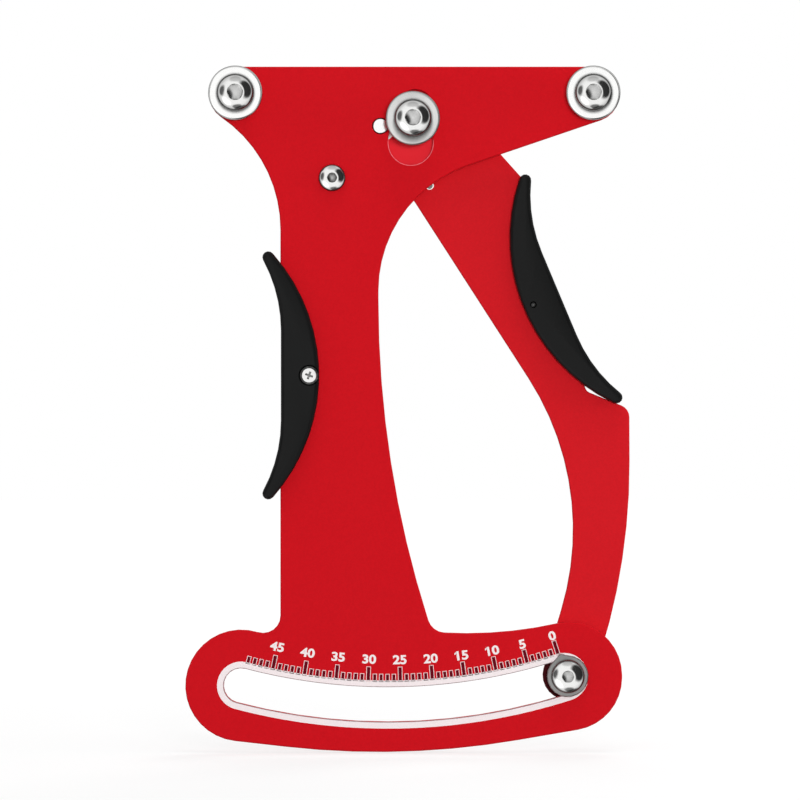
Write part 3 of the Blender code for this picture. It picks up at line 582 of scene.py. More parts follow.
def thread_tree():
    """Helical ridge of a screw thread, rising along Z."""
    inputs = [("Radius", "Float"), ("Pitch", "Float"), ("Run", "Float"), ("Material", "Material")]
    tree, given = new_tree("thread", inputs)
    turns = sum_of(tree, "DIVIDE", given["Run"], given["Pitch"])
    depth = sum_of(tree, "MULTIPLY", given["Pitch"], THREAD_DEPTH)
    root = sum_of(tree, "SUBTRACT", given["Radius"], sum_of(tree, "MULTIPLY", depth, THREAD_SINK))
    sockets = {
        "Resolution": 40,
        "Rotations": turns,
        "Start Radius": root,
        "End Radius": root,
        "Height": given["Run"],
    }
    path = add(tree, "GeometryNodeCurveSpiral", sockets).outputs[0]
    section = add(tree, "GeometryNodeCurvePrimitiveCircle", {"Resolution": 6, "Radius": depth}).outputs[0]
    swept = add(tree, "GeometryNodeCurveToMesh", {"Curve": path, "Profile Curve": section, "Fill Caps": True})
    return end_tree(tree, swept.outputs[0], given["Material"])


def ticks_tree():
    """Small upright frames, or their fills, set out along the scale with every fifth place longer."""
    inputs = [
        ("Count", "Int"),
        ("Every", "Int"),
        ("Start", "Float"),
        ("Step", "Float"),
        ("Centre", "Vector"),
        ("Inner", "Float"),
        ("Outer", "Float"),
        ("Width", "Float"),
        ("Line", "Float"),
        ("Thickness", "Float"),
        ("Long", "Bool"),
        ("Filled", "Bool"),
        ("Material", "Material"),
    ]
    tree, given = new_tree("ticks", inputs)
    index = add(tree, "GeometryNodeInputIndex").outputs[0]
    turned_by = sum_of(tree, "SUBTRACT", given["Start"], sum_of(tree, "MULTIPLY", index, given["Step"]))
    middle = sum_of(tree, "MULTIPLY", sum_of(tree, "ADD", given["Inner"], given["Outer"]), 0.5)
    height = sum_of(tree, "SUBTRACT", given["Outer"], given["Inner"])
    side = add(tree, "ShaderNodeMath", {0: turned_by}, operation="SINE").outputs[0]
    x = sum_of(tree, "MULTIPLY", middle, side)
    drop = add(tree, "ShaderNodeMath", {0: turned_by}, operation="COSINE").outputs[0]
    z = sum_of(tree, "MULTIPLY", sum_of(tree, "MULTIPLY", middle, drop), -1.0)
    offset = add(tree, "ShaderNodeCombineXYZ", {0: x, 2: z}).outputs[0]
    place = add(tree, "ShaderNodeVectorMath", {0: given["Centre"], 1: offset}, operation="ADD").outputs[0]
    points = add(tree, "GeometryNodePoints", {"Count": given["Count"], "Position": place}).outputs[0]
    left_over = sum_of(tree, "MODULO", index, given["Every"])
    on_long = add(tree, "ShaderNodeMath", {0: left_over, 1: 0.5}, operation="LESS_THAN").outputs[0]
    chosen = add(tree, "FunctionNodeBooleanMath", {0: on_long, 1: given["Long"]}, operation="XNOR").outputs[0]
    lean = sum_of(tree, "MULTIPLY", turned_by, -1.0)
    rotation = add(tree, "ShaderNodeCombineXYZ", {0: math.pi / 2, 1: lean}).outputs[0]
    inner_width = sum_of(tree, "SUBTRACT", given["Width"], given["Line"])
    inner_height = sum_of(tree, "SUBTRACT", height, given["Line"])
    sockets = {"Width": inner_width, "Height": inner_height}
    outline = add(tree, "GeometryNodeCurvePrimitiveQuadrilateral", sockets).outputs[0]
    sockets = {"Width": given["Line"], "Height": given["Thickness"]}
    section = add(tree, "GeometryNodeCurvePrimitiveQuadrilateral", sockets).outputs[0]
    rim = add(tree, "GeometryNodeCurveToMesh", {"Curve": outline, "Profile Curve": section}).outputs[0]
    sockets = {0: inner_width, 1: inner_height, 2: given["Thickness"]}
    size = add(tree, "ShaderNodeCombineXYZ", sockets).outputs[0]
    fill = add(tree, "GeometryNodeMeshCube", {"Size": size}).outputs[0]
    sockets = {"Switch": given["Filled"], "False": rim, "True": fill}
    shape = add(tree, "GeometryNodeSwitch", sockets, input_type="GEOMETRY").outputs[0]
    sockets = {"Points": points, "Selection": chosen, "Instance": shape, "Rotation": rotation}
    copies = add(tree, "GeometryNodeInstanceOnPoints", sockets).outputs[0]
    return end_tree(tree, copies, given["Material"])


# The frame's pieces
def carried(piece, body, nodes=()):
    """Let a piece ride on a body and stand for its CAD nodes, which are hidden."""
    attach(piece, body)
    if nodes:
        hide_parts(*nodes)
    return piece


def dressed(node, name, body, material, edge, angle=32.0, limit=50.0):
    """Smooth-shaded copy of a CAD node with its sharp edges softened."""
    source = frame["nodes"][node].data
    bm = bmesh.new()
    points = [bm.verts.new(v.co) for v in source.vertices]
    for face in source.polygons:
        bm.faces.new([points[i] for i in face.vertices])
    bmesh.ops.remove_doubles(bm, verts=bm.verts, dist=1e-6)
    flat = math.radians(0.4)
    bmesh.ops.dissolve_limit(bm, angle_limit=flat, verts=bm.verts, edges=bm.edges)
    mesh = bpy.data.meshes.new(name)
    bm.to_mesh(mesh)
    bm.free()
    shade(mesh, angle)
    host = softened(object_of(f"{name}_host", mesh), edge, limit)
    host.modifiers["soft_edges"].harden_normals = True
    piece = marked(settled(host, name, None), axis=axis_of(node))
    return carried(painted(piece, material), body, [node])


def point_mesh(name, places):
    """Mesh of loose points."""
    mesh = bpy.data.meshes.new(name)
    mesh.from_pydata([tuple(p) for p in places], [], [])
    return mesh


def set_out(name, pattern, places, material, body, nodes):
    """Copies of a pattern at the places, as one piece. The pattern is used up."""
    values = {"Pattern": pattern, "Material": material}
    piece = grown(name, TREES["set_out"], values, point_mesh(name, places))
    bpy.data.objects.remove(pattern)
    return carried(piece, body, nodes)


def button_screw(name, size, head_radius, length, threaded):
    """Button-head screw along Y, seated at y = 0: domed head, flat rim, hexagon socket and thread, with
    painted shade in the socket and round the head's foot.
    """
    height, socket, shank, pitch, socket_shade_share = size
    rim = socket / math.sqrt(3) + SOCKET_RIM
    foot = height * DOME_FOOT
    profile = [(-height, 0), (-height, rim)]
    arc_steps = 14
    for k in range(1, arc_steps + 1):
        t = math.pi / 2 * k / arc_steps
        out = math.sin(t)
        drop = DOME_CONE * out + (1 - DOME_CONE) * (1 - math.cos(t))
        profile.append((-height + (height - foot) * drop, rim + (head_radius - rim) * out))
    point = pitch / 2
    core = shank - (pitch * 0.3 if threaded else 0)
    profile += [(0, head_radius), (0, shank)]
    if threaded:
        start = length - THREAD_RUN - pitch
        profile += [(start, shank), (start + point, core)]
    profile += [(length - point, core), (length, core - point), (length, 0)]
    head = softened(turned(f"{name}_blank", profile, 96), SOFT_EDGE / 2, 40.0)
    head = settled(head, f"{name}_head")
    floor = -height + height * SOCKET_DEPTH
    bar = hexagon_bar(f"{name}_bar", socket, -height * 2, floor, socket * 0.22)
    head = cut(head, bar)
    mouth = socket / math.sqrt(3) + 0.02 * MM
    cone = [(-height - 0.4 * MM, 0), (-height - 0.4 * MM, mouth + 0.4 * MM), (-height + mouth, 0)]
    head = cut(head, turned(f"{name}_mouth", cone, 48))
    top = -height + 0.05 * MM

    # Painted shade: darker socket walls, corners and bottom, and a band round the foot of the head
    def dirt(place):
        away = off_axis(place)
        if place.y < top or place.y > 0:
            return 0.0
        if away < rim - 0.05 * MM:
            wall, corner, bottom = SOCKET_SHADE
            deep = bottom if away < socket / 4 else corner if place.y > floor - 0.1 * MM else wall
            return deep * socket_shade_share
        return HEAD_FOOT_SHADE if away > head_radius * (1 - FOOT_BAND) else 0.0

    marked(head, dirt)
    if not threaded:
        return head
    values = {"Radius": shank, "Pitch": pitch, "Run": THREAD_RUN}
    ridge = grown(f"{name}_ridge", TREES["thread"], values)
    upright = Matrix.Rotation(-math.pi / 2, 4, "X")
    turn_mesh(ridge, Matrix.Translation((0, length - THREAD_RUN - point * 0.6, 0)) @ upright)
    return joined(name, [head, marked(ridge)])


def hexagon_nut(name, across, height, bore):
    """Hexagon nut along Y from y = 0, with chamfered corners and a countersunk bore."""
    blank = hexagon_bar(name, across, 0, height)
    out = across / math.sqrt(3)
    low = across / 2 * NUT_CHAMFER
    fall = (out - low) * 0.6
    past = out + 0.01 * MM
    lens = [(0, 0), (0, low), (fall, past), (height - fall, past), (height, low), (height, 0)]
    blank = cut(blank, turned(f"{name}_lens", lens, 96), "INTERSECT")
    sink = NUT_SINK
    far, wide = height + sink, bore + 2 * sink
    hole = [(-sink, 0), (-sink, wide), (sink, bore), (height - sink, bore), (far, wide), (far, 0)]
    return marked(cut(blank, turned(f"{name}_hole", hole, 64)))


def grooved_post(name, node):
    """Turned post about its own axis: flange, spoke groove with sloping flanks, and foot."""
    low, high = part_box(node)
    flange = (high.x - low.x) / 2
    half = GROOVE_WIDTH / 2
    foot = POST_FEET[node]
    head = (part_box("left_post_screw")[1].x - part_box("left_post_screw")[0].x) / 2
    profile = [
        (low.y, POST_BORE),
        *[(low.y, head + (flange - head - FLANGE_EDGE) * k / 6) for k in range(6)],
        (low.y, flange - FLANGE_EDGE),
        (low.y + FLANGE_EDGE, flange),
        (-half - FLANGE_EDGE, flange),
        (-half, flange - FLANGE_EDGE),
        (-half, NECK_RADIUS + GROOVE_FLANK),
        (-half + GROOVE_FLANK, NECK_RADIUS),
        (half - GROOVE_FLANK, NECK_RADIUS),
        (half, max(foot, NECK_RADIUS + GROOVE_FLANK) - 0.25 * MM),
        (half + 0.25 * MM, foot),
        (high.y, foot),
        (high.y, POST_BORE),
    ]
    piece = settled(softened(turned(f"{name}_blank", profile), SOFT_EDGE, 20.0, 3), name)

    # Painted shade on the flange's front rim, and painted shadow round the head's foot that reaches further
    # below it
    def dirt(place):
        away = off_axis(place)
        if away > flange - FLANGE_EDGE / 2:
            return FLANGE_RIM_SHADE if place.y < -half else 0.0
        down = max(0.0, -place.z / away)
        reach = FOOT_SHADE + (POST_SHADOW_REACH[node] - FOOT_SHADE) * down
        fade = 1 - max(0.0, away - head) / reach
        return POST_FOOT_SHADE * max(0.0, fade) if place.y < low.y + FLANGE_EDGE / 4 else 0.0

    return marked(piece, dirt)


def ring(name, node, inner, edge=SOFT_EDGE):
    """Plain washer or sleeve in a node's place, with rounded edges."""
    low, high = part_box(node)
    outer = (high.x - low.x) / 2
    profile = [(low.y, inner), (low.y, outer), (high.y, outer), (high.y, inner)]
    return marked(settled(softened(turned(f"{name}_blank", profile, 96), edge, 40.0, 3), name))


def axis_of(node):
    """Centre line of a round node, as a point at y = 0."""
    middle = centre(node)
    return Vector((middle.x, 0, middle.z))


def place_at(piece, node):
    """Move a piece from the origin to a node's centre line."""
    return turn_mesh(piece, Matrix.Translation(axis_of(node)))


def painted(piece, material):
    """Give the whole piece one material."""
    piece.data.materials.clear()
    piece.data.materials.append(material)
    return piece


def posts_and_screws():
    """The three grooved posts with their screws, washers and nuts."""
    ends = ("left", "right")
    fixed = [axis_of(f"{end}_post") for end in ends]
    moving = axis_of("moving_post")
    for name, node, places, body, owners in (
        ("fixed_posts", "left_post", fixed, FIXED, [f"{end}_post" for end in ends]),
        ("sprung_post", "moving_post", [moving], SWINGING, ["moving_post"]),
    ):
        pattern = grooved_post(f"{name}_pattern", node)
        set_out(name, pattern, places, POST_FINISHES[name], body, owners)
    for name, node, places, body, owners, threaded in (
        ("fixed_post_screws", "left_post_screw", fixed, FIXED, [f"{end}_post_screw" for end in ends], True),
        ("sprung_post_screw", "moving_post_screw", [moving], SWINGING, ["moving_post_screw"], False),
    ):
        low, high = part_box(node)
        seat = low.y + M6[0]
        pattern = button_screw(f"{name}_pattern", M6, (high.x - low.x) / 2, high.y - seat, threaded)
        places = [p + Vector((0, seat, 0)) for p in places]
        set_out(name, pattern, places, PLATING, body, owners)
    pattern = ring("post_washer_pattern", "left_post_washer", POST_BORE)
    owners = [f"{end}_post_washer" for end in ends]
    set_out("post_washers", pattern, fixed, BACK_STEEL, FIXED, owners)
    low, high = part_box("left_post_nut")
    pattern = hexagon_nut("post_nut_pattern", high.z - low.z, high.y - low.y, POST_BORE)
    places = [p + Vector((0, low.y, 0)) for p in fixed]
    set_out("post_nuts", pattern, places, PLATING, FIXED, [f"{end}_post_nut" for end in ends])


def single_screw(name, node, size, body):
    """Button-head screw in a node's place."""
    low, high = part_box(node)
    seat = low.y + size[0]
    piece = button_screw(name, size, (high.x - low.x) / 2, high.y - seat, True)
    piece.name = name
    turn_mesh(piece, Matrix.Translation(axis_of(node) + Vector((0, seat, 0))))
    painted(piece, PLATING)
    return carried(piece, body, [node])


def single_nut(name, node, bore, body):
    """Hexagon nut in a node's place."""
    low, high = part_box(node)
    piece = hexagon_nut(name, high.z - low.z, high.y - low.y, bore)
    piece.name = name
    turn_mesh(piece, Matrix.Translation(axis_of(node) + Vector((0, low.y, 0))))
    painted(piece, PLATING)
    return carried(piece, body, [node])


def single_ring(name, node, inner, body, material):
    """Washer or sleeve in a node's place."""
    piece = place_at(ring(name, node, inner), node)
    painted(piece, material)
    return carried(piece, body, [node])


def pivot_set():
    """Pin with its polished end in the plate, washer and spool."""
    low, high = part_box("pivot_pin")
    head = (high.x - low.x) / 2
    head_front = high.y - PIN_HEAD_THICK
    profile = [
        (low.y, 0),
        (low.y, PIN_RADIUS - PIN_CHAMFER),
        (low.y + PIN_CHAMFER, PIN_RADIUS),
        (head_front, PIN_RADIUS),
        (head_front, head),
    ]
    crown_steps = 8
    for k in range(crown_steps + 1):
        t = math.pi / 2 * k / crown_steps
        rise = PIN_HEAD_STRAIGHT + PIN_HEAD_CROWN * math.sin(t)
        profile.append((head_front + rise, head - PIN_HEAD_EASE * (1 - math.cos(t))))
    profile.append((high.y, 0))
    piece = marked(settled(softened(turned("pin_blank", profile, 96), 0.06 * MM, 40.0), "hinge_pin"))
    place_at(painted(piece, PIN_STEEL), "pivot_pin")
    carried(piece, FIXED, ["pivot_pin"])
    single_ring("hinge_washer", "pivot_washer", PIN_BORE, FIXED, BACK_STEEL)
    single_ring("spring_sleeve", "spring_spool", PIN_BORE, FIXED, BACK_STEEL)


def anchor_set():
    """Screw, grooved sleeve and nut that hold the spring's fixed leg."""
    single_screw("small_screw", "anchor_screw", M4, FIXED)
    single_nut("small_nut", "anchor_nut", M4_BORE, FIXED)
    dressed("anchor_sleeve", "grooved_sleeve", FIXED, ANCHOR_STEEL, METAL_EDGE)


def pointer_set():
    """Pointer washer, bush, glide, screw and nut at the arm's end."""
    dressed("pointer", "pointer_washer", SWINGING, SATIN_STEEL, METAL_EDGE, limit=40.0)
    single_ring("slot_bush", "pointer_bush", M5_BORE, SWINGING, BACK_STEEL)
    single_ring("slot_glide", "pointer_glide", M5_BORE, SWINGING, BACK_STEEL)
    single_screw("pointer_button_screw", "pointer_screw", M5, SWINGING)
    single_nut("pointer_back_nut", "pointer_nut", M5_BORE, SWINGING)


def spring_path():
    """Centre line of the torsion spring from the hooked tip in the arm to the leg on the anchor."""
    front = ARM_BACK + WIRE_GAP + WIRE_RADIUS
    hook = Vector((SPRING_HOLE[0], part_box("return_spring")[0].y, SPRING_HOLE[1]))
    anchor = axis_of("anchor_sleeve")
    clear = SLEEVE_GROOVE + WIRE_GAP + WIRE_RADIUS
    middle = Vector((PIVOT.x, 0, PIVOT.z))

    def run_normal(ax, az, ar, bx, bz, br):
        share = (br - ar) / math.hypot(bx - ax, bz - az)
        return math.atan2(bz - az, bx - ax) + math.acos(share)

    first = run_normal(hook.x, hook.z, 0, middle.x, middle.z, COIL_RADIUS)
    last = run_normal(middle.x, middle.z, COIL_RADIUS, anchor.x, anchor.z, -clear)

    def on_coil(turn, radius=COIL_RADIUS, about=middle):
        return about.x - radius * math.cos(turn), about.z - radius * math.sin(turn)

    start = Vector((on_coil(first)[0], 0, on_coil(first)[1]))
    along = (start - Vector((hook.x, 0, hook.z))).normalized()
    points = [hook]
    bend_steps = 12
    for k in range(bend_steps + 1):
        t = math.pi / 2 * k / bend_steps
        back = Vector((hook.x, front - HOOK_BEND * (1 - math.sin(t)), hook.z))
        points.append(back + along * HOOK_BEND * (1 - math.cos(t)))
    turn = math.fmod(last - first, math.tau)
    turn += (math.tau if turn < 0 else 0) + math.tau * COIL_TURNS
    steps = math.ceil(turn / math.radians(6))
    for k in range(steps + 1):
        x, z = on_coil(first + turn * k / steps)
        points.append(Vector((x, front + COIL_PITCH * turn / math.tau * k / steps, z)))
    end = points[-1]
    x, z = on_coil(last, -clear, anchor)
    out = Vector((x, end.y, z))
    points.append(out + (out - end).normalized() * LEG_PAST)
    return points, front, end.y


def torsion_spring():
    """Spring wire coiled round the pin, from its hook in the arm to its leg on the anchor."""
    points, front, rear = spring_path()
    mesh = bpy.data.meshes.new("spring_line")
    mesh.from_pydata([tuple(p) for p in points], [(i, i + 1) for i in range(len(points) - 1)], [])
    values = {"Wire radius": WIRE_RADIUS, "Sides": 20, "Material": SPRING_STEEL}
    piece = grown("torsion_spring", TREES["wire"], values, mesh, 60.0)
    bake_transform(piece)
    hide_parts("return_spring")


def plates():
    """The two red plates."""
    dressed("front_plate", "painted_plate", FIXED, PLATE_RED, PLATE_EDGE)
    dressed("arm_plate", "painted_arm", SWINGING, ARM_RED, PLATE_EDGE)


def cross_screw(name, node, body, faces_front):
    """Small countersunk screw with a cross recess and a sunk rim, with painted shade in the rim, the recess
    and the tip.
    """
    low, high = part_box(node)
    outer, length = (high.x - low.x) / 2, high.y - low.y
    profile = [
        (0, 0),
        (0, CROSS_FACE - 0.15 * MM),
        (0.15 * MM, CROSS_FACE),
        (CROSS_RIM_DROP, CROSS_FACE),
        (CROSS_RIM_DROP, outer - 0.15 * MM),
        (CROSS_RIM_DROP + 0.15 * MM, outer),
        (CROSS_HEAD_DEPTH, CROSS_SHANK),
        (length - CROSS_SHANK / 2, CROSS_SHANK),
        (length, CROSS_SHANK / 2),
        (length, 0),
    ]
    screw = settled(softened(turned(f"{name}_blank", profile, 64), 0.04 * MM, 30.0), f"{name}_blank")
    for turn in (CROSS_TURN, CROSS_TURN + math.pi / 2):
        bm = bmesh.new()
        bmesh.ops.create_cube(bm, size=1.0)
        for point in bm.verts:
            taper = 0.62 if point.co.y > 0 else 1.0
            point.co.x *= 2 * CROSS_REACH * taper
            point.co.y *= 2 * CROSS_DEPTH
            point.co.z *= CROSS_WIDTH * taper
        bar = turn_mesh(object_of(f"{name}_bar", mesh_of(f"{name}_bar", bm)), Matrix.Rotation(turn, 4, "Y"))
        screw = cut(screw, bar)

    # Painted shade: the sunk rim, the cross recess and the tip in its hole are darker
    def dirt(place):
        if place.y > length * 0.6:
            return 1.0
        if off_axis(place) > CROSS_FACE - 0.02 * MM:
            return 1.0 if place.y > CROSS_RIM_DROP / 2 else 0.0
        return 0.8 if place.y > 0.1 * MM else 0.0

    marked(screw, dirt)
    if not faces_front:
        turn_mesh(screw, Matrix.Rotation(math.pi, 4, "X"))
    start = low.y if faces_front else high.y
    turn_mesh(screw, Matrix.Translation(axis_of(node) + Vector((0, start, 0))))
    screw.name = name
    return carried(painted(screw, PLATING), body, [node])


def grips():
    """The two moulded grips and their screws."""
    for side, body in (("left", FIXED), ("right", SWINGING)):
        dressed(f"{side}_grip", f"{side}_handle", body, GRIP_BLACK, GRIP_EDGE, angle=44.0)
        cross_screw(f"{side}_handle_screw", f"{side}_grip_screw", body, side == "left")


def on_slot(radius, angle):
    """Place on the plate at a radius and an angle from straight down about the slot's centre."""
    return SLOT_CENTRE.x + radius * math.sin(angle), SLOT_CENTRE.z - radius * math.cos(angle)


def slot_arc(radius, start, end, steps=90):
    """Points of an arc about the slot's centre."""
    return [on_slot(radius, start + (end - start) * k / steps) for k in range(steps + 1)]


def cap_points(angle, width, side, steps=28):
    """Half round at one end of the slot, without its two end points."""
    x, z = on_slot(SLOT_RADIUS, angle)
    made = []
    for k in range(1, steps):
        t = math.pi * k / steps
        out, along = math.cos(t) * side, math.sin(t) * side
        dx = out * math.sin(angle) + along * math.cos(angle)
        dz = -out * math.cos(angle) + along * math.sin(angle)
        made.append((x + width * dx, z + width * dz))
    return made


def slot_band(name, inner, outer, material):
    """Even band printed round the scale slot."""
    loops = []
    for width in (SLOT_HALF + inner, SLOT_HALF + outer):
        line = slot_arc(SLOT_RADIUS + width, SLOT_LEFT, SLOT_RIGHT) + cap_points(SLOT_RIGHT, width, 1)
        line += slot_arc(SLOT_RADIUS - width, SLOT_RIGHT, SLOT_LEFT) + cap_points(SLOT_LEFT, width, -1)
        loops.append(line)
    levels = (PLATE_FACE - INK_LIFT, PLATE_FACE + INK_ROOT)
    bm = bmesh.new()
    rings = [[bm.verts.new((x, y, z)) for x, z in line] for y in levels for line in loops]
    front_in, front_out, rear_in, rear_out = rings
    around = (front_in, front_out, rear_out, rear_in, front_in)
    for lower, upper in zip(around, around[1:]):
        for i in range(len(lower)):
            j = (i + 1) % len(lower)
            bm.faces.new((lower[i], lower[j], upper[j], upper[i]))
    piece = object_of(name, mesh_of(name, bm))
    shade(piece.data)
    carried(painted(piece, material), FIXED)


def scale_ticks():
    """Outlined boxes of the scale, and their dark fills of painted shade in the engraved marks."""
    for name, filled, material in (("tick_outlines", False, TICK_INK), ("tick_fills", True, TICK_SHADE)):
        made = []
        for long, (inner, outer, width) in ((False, SHORT_TICK), (True, LONG_TICK)):
            lift = INK_LIFT / 2 if filled else INK_LIFT
            values = {
                "Count": UNIT_COUNT,
                "Every": LONG_EVERY,
                "Start": SCALE_START,
                "Step": UNIT_STEP,
                "Centre": (SLOT_CENTRE.x, PLATE_FACE - lift + (lift + INK_ROOT) / 2, SLOT_CENTRE.z),
                "Inner": inner,
                "Outer": outer,
                "Width": width,
                "Line": TICK_LINE,
                "Thickness": lift + INK_ROOT,
                "Long": long,
                "Filled": filled,
                "Material": material,
            }
            made.append(grown(f"{name}_{long}", TREES["ticks"], values))
        piece = painted(joined(name, made), material)
        carried(piece, FIXED)


def flag_of_one(left, top):
    """Slanting flag at the top of a figure one, as a thin slab in the plane of the text."""
    bm = bmesh.new()
    root, tip = left + 0.02, left - 0.15
    outline = [(root, top), (tip, top - 0.15), (tip, top - 0.27), (root, top - 0.17)]
    lower, upper = [[bm.verts.new((x, y, z)) for x, y in outline] for z in (-TEXT_HALF, TEXT_HALF)]
    bm.faces.new(lower)
    bm.faces.new(upper)
    for i in range(len(outline)):
        j = (i + 1) % len(outline)
        bm.faces.new((lower[i], lower[j], upper[j], upper[i]))
    return object_of("flag_of_one", mesh_of("flag_of_one", bm))


def scale_numbers():
    """Plain numbers 0 to 45 in fives, upright towards the pivot."""
    made = []
    for value in range(0, UNIT_COUNT, LONG_EVERY):
        words = bpy.data.curves.new(f"number_{value}", "FONT")
        words.body = str(value)
        words.align_x = "CENTER"
        words.align_y = "CENTER"
        words.offset = NUMBER_BOLD
        words.extrude = TEXT_HALF
        words.resolution_u = 6
        host = object_of(f"number_{value}", words)
        piece = settled(host, f"digits_{value}")
        low = min(v.co.y for v in piece.data.vertices)
        high = max(v.co.y for v in piece.data.vertices)
        size = NUMBER_HEIGHT / (high - low)
        if value in (10, 15):
            left = min(v.co.x for v in piece.data.vertices)
            piece = joined(f"digits_{value}", [piece, flag_of_one(left, high)])
        angle = SCALE_START - UNIT_STEP * value
        radius = NUMBER_RADIUS - NUMBER_DRIFT * value
        thick = (INK_LIFT + INK_ROOT) / (2 * TEXT_HALF)
        x, z = on_slot(radius, angle)
        place = Vector((x, PLATE_FACE + (INK_ROOT - INK_LIFT) / 2, z))
        upright = Matrix.Rotation(-angle, 4, "Y") @ Matrix.Rotation(math.pi / 2, 4, "X")
        centred = Matrix.Translation((0, -(low + high) / 2, 0))
        sized = Matrix.Diagonal((size * NUMBER_WIDEN, size, thick, 1))
        turn_mesh(piece, Matrix.Translation(place) @ upright @ sized @ centred)
        made.append(piece)
    piece = painted(joined("scale_numbers", made), NUMBER_INK)
    carried(piece, FIXED)


# Surroundings
def make_camera():
    """Camera whose view is VIEW_WIDTH wide at the plate's face."""
    data = bpy.data.cameras.new("camera")
    camera = object_of("camera", data)
    data.sensor_width = SENSOR_WIDTH
    data.lens = SENSOR_WIDTH * CAMERA_DISTANCE / VIEW_WIDTH
    camera.location = VIEW_CENTRE - Vector((0, CAMERA_DISTANCE, 0))
    camera.rotation_euler = (math.pi / 2, 0, 0)
    bpy.context.scene.camera = camera


def make_floor():
    """Pale floor that shows white to the camera and keeps the shadow. Mirrors don't see it."""
    bottom = cad_box[0].z - FLOOR_DROP
    corners = [(x * FLOOR_HALF, y * FLOOR_HALF, bottom) for x, y in ((-1, -1), (1, -1), (1, 1), (-1, 1))]
    mesh = bpy.data.meshes.new("floor")
    mesh.from_pydata(corners, [], [(0, 1, 2, 3)])
    floor = object_of("floor", mesh)
    material, tree, shader = plain_finish("pale_floor", (FLOOR_TONE, FLOOR_TONE, FLOOR_TONE), 0.0, 0.9, 0.0)
    place = add(tree, "ShaderNodeTexCoord").outputs["Object"]
    away = add(tree, "ShaderNodeVectorMath", {0: place}, operation="LENGTH").outputs["Value"]
    sockets = {"Value": away, "From Min": FLOOR_NEAR[0], "From Max": FLOOR_FAR[0]}
    sockets |= {"To Min": FLOOR_NEAR[1], "To Max": FLOOR_FAR[1]}
    glow = add(tree, "ShaderNodeMapRange", sockets, interpolation_type="SMOOTHSTEP").outputs[0]
    direct = add(tree, "ShaderNodeLightPath").outputs["Is Camera Ray"]
    tree.links.new(sum_of(tree, "MULTIPLY", glow, direct), shader.inputs["Emission Strength"])
    shader.inputs["Emission Color"].default_value = (1, 1, 1, 1)
    mesh.materials.append(material)
    floor.visible_glossy = False


def make_sky():
    """White behind the object, softer light from all round, and panels that only mirror rays see."""
    world = bpy.data.worlds.new("studio")
    bpy.context.scene.world = world
    world.use_nodes = True
    tree = world.node_tree
    path = add(tree, "ShaderNodeLightPath").outputs
    direction = add(tree, "ShaderNodeTexCoord").outputs["Generated"]
    level = MIRROR_LEVEL
    for towards, start, end, share in PANELS:
        sockets = {0: direction, 1: towards}
        along = add(tree, "ShaderNodeVectorMath", sockets, operation="DOT_PRODUCT").outputs["Value"]
        sockets = {"Value": along, "From Min": start, "From Max": end, "To Min": 1.0, "To Max": share}
        panel = add(tree, "ShaderNodeMapRange", sockets, interpolation_type="SMOOTHSTEP").outputs[0]
        level = sum_of(tree, "MULTIPLY", panel, level)
    mirror = sum_of(tree, "MAXIMUM", path["Is Glossy Ray"], path["Is Transmission Ray"])
    soft = sum_of(tree, "MULTIPLY", sum_of(tree, "SUBTRACT", 1.0, mirror), SKY_LEVEL)
    soft = sum_of(tree, "ADD", soft, sum_of(tree, "MULTIPLY", mirror, level))
    direct = path["Is Camera Ray"]
    dimmed = sum_of(tree, "MULTIPLY", soft, sum_of(tree, "SUBTRACT", 1.0, direct))
    background = tree.nodes["Background"]
    background.inputs["Color"].default_value = (1, 1, 1, 1)
    tree.links.new(sum_of(tree, "ADD", dimmed, direct), background.inputs["Strength"])


def make_lamp(name, place, size, power):
    """Round lamp aimed at the middle of the view, unseen by mirrors."""
    data = bpy.data.lights.new(name, "AREA")
    data.shape = "DISK"
    data.size = size
    data.energy = power
    lamp = object_of(name, data)
    lamp.location = place
    aim = VIEW_CENTRE - Vector(place)
    lamp.rotation_euler = aim.to_track_quat("-Z", "Y").to_euler()
    lamp.visible_glossy = False


for old in [o for o in bpy.data.objects if o.type in ("CAMERA", "LIGHT")]:
    bpy.data.objects.remove(old)

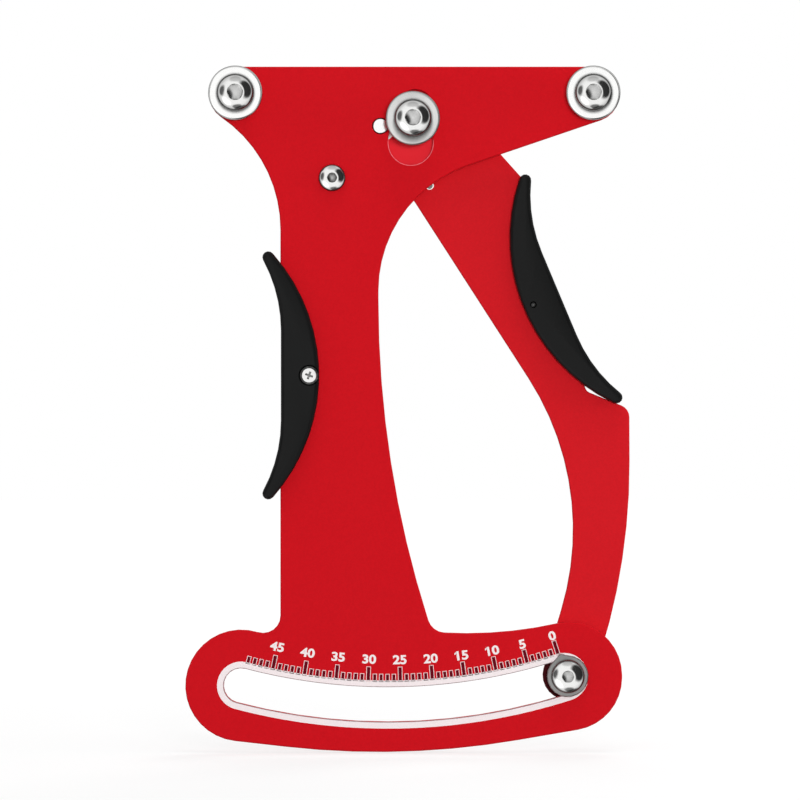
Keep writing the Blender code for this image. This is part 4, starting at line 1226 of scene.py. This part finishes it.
TREES = {"set_out": set_out_tree(), "wire": wire_tree(), "thread": thread_tree(), "ticks": ticks_tree()}
ARM_DEPTH = Vector((0, ARM_FACE - PLATE_FACE, 0))
# Painted highlight: a pale rim along the lower part of the plate window's edge
WINDOW_RIM_HIGHLIGHT = (WINDOW_MIDDLE, WINDOW_RADIUS, WINDOW_RADIUS + 0.08 * MM, 0.1 * MM, 1.5 * MM, (0.92, 0.22, 0.26))
# Painted light: a lighter spot on the arm seen through the window
WINDOW_LIGHT_SPOT = (WINDOW_MIDDLE + ARM_DEPTH, 0, WINDOW_RADIUS + MM, MM, 20 * MM, (0.86, 0.028, 0.042))
BUSH_MIDDLE = axis_of("pointer_bush") + Vector((0, ARM_FACE, 0))
# Painted shadow: a dark spot on the arm round the pointer's bush
BUSH_SHADOW = (BUSH_MIDDLE, 0, 8.2 * MM, 0.6 * MM, 20 * MM, (0.05, 0.004, 0.006))
PLATE_RED = powder_coat("plate_red", (0.60, 0.0065, 0.0126), WINDOW_RIM_HIGHLIGHT)
ARM_RED = powder_coat("arm_red", (0.63, 0.0108, 0.0172), WINDOW_LIGHT_SPOT, BUSH_SHADOW)
POST_FINISHES = {
    "fixed_posts": turned_steel("post_steel", (0.93, 0.93, 0.92), 0.2, 0.3),
    "sprung_post": turned_steel("sprung_post_steel", (0.72, 0.72, 0.71), 0.3, 0.7),
}
PIN_STEEL = turned_steel("pin_steel", (0.90, 0.90, 0.89), 0.14)
ANCHOR_STEEL = turned_steel("sleeve_steel", (0.62, 0.62, 0.61), 0.36)
SATIN_STEEL = turned_steel("pointer_steel", (0.30, 0.30, 0.295), 0.34, 0.7)
BACK_STEEL = bright_plate("washer_plate", (0.68, 0.68, 0.67), 0.2)
SPRING_STEEL = bright_plate("spring_wire", (0.36, 0.35, 0.34), 0.28)
PLATING = bright_plate("bright_plating")
GRIP_BLACK = moulded_plastic("grip_black", (0.0070, 0.0072, 0.0072))
BAND_INK = printed_ink("band_ink", (0.94, 0.85, 0.86))
EDGE_INK = printed_ink("edge_ink", (0.36, 0.27, 0.28))
TICK_INK = printed_ink("tick_ink", (0.88, 0.62, 0.63))
# Painted shade: dark red inside the scale's engraved tick marks
TICK_SHADE = printed_ink("tick_dark", (0.13, 0.0035, 0.0100))
NUMBER_INK = printed_ink("number_ink", (0.92, 0.84, 0.84))

make_camera()
make_sky()
make_floor()
for lamp, (lamp_place, lamp_size, lamp_power) in LAMPS.items():
    make_lamp(lamp, lamp_place, lamp_size, lamp_power)
plates()
grips()
posts_and_screws()
pivot_set()
anchor_set()
pointer_set()
torsion_spring()
slot_band("slot_edge_line", 0.0, EDGE_LINE, EDGE_INK)
slot_band("scale_band", EDGE_LINE, BAND_OUTER, BAND_INK)
scale_ticks()
scale_numbers()

bpy.context.scene.view_settings.view_transform = "Standard"
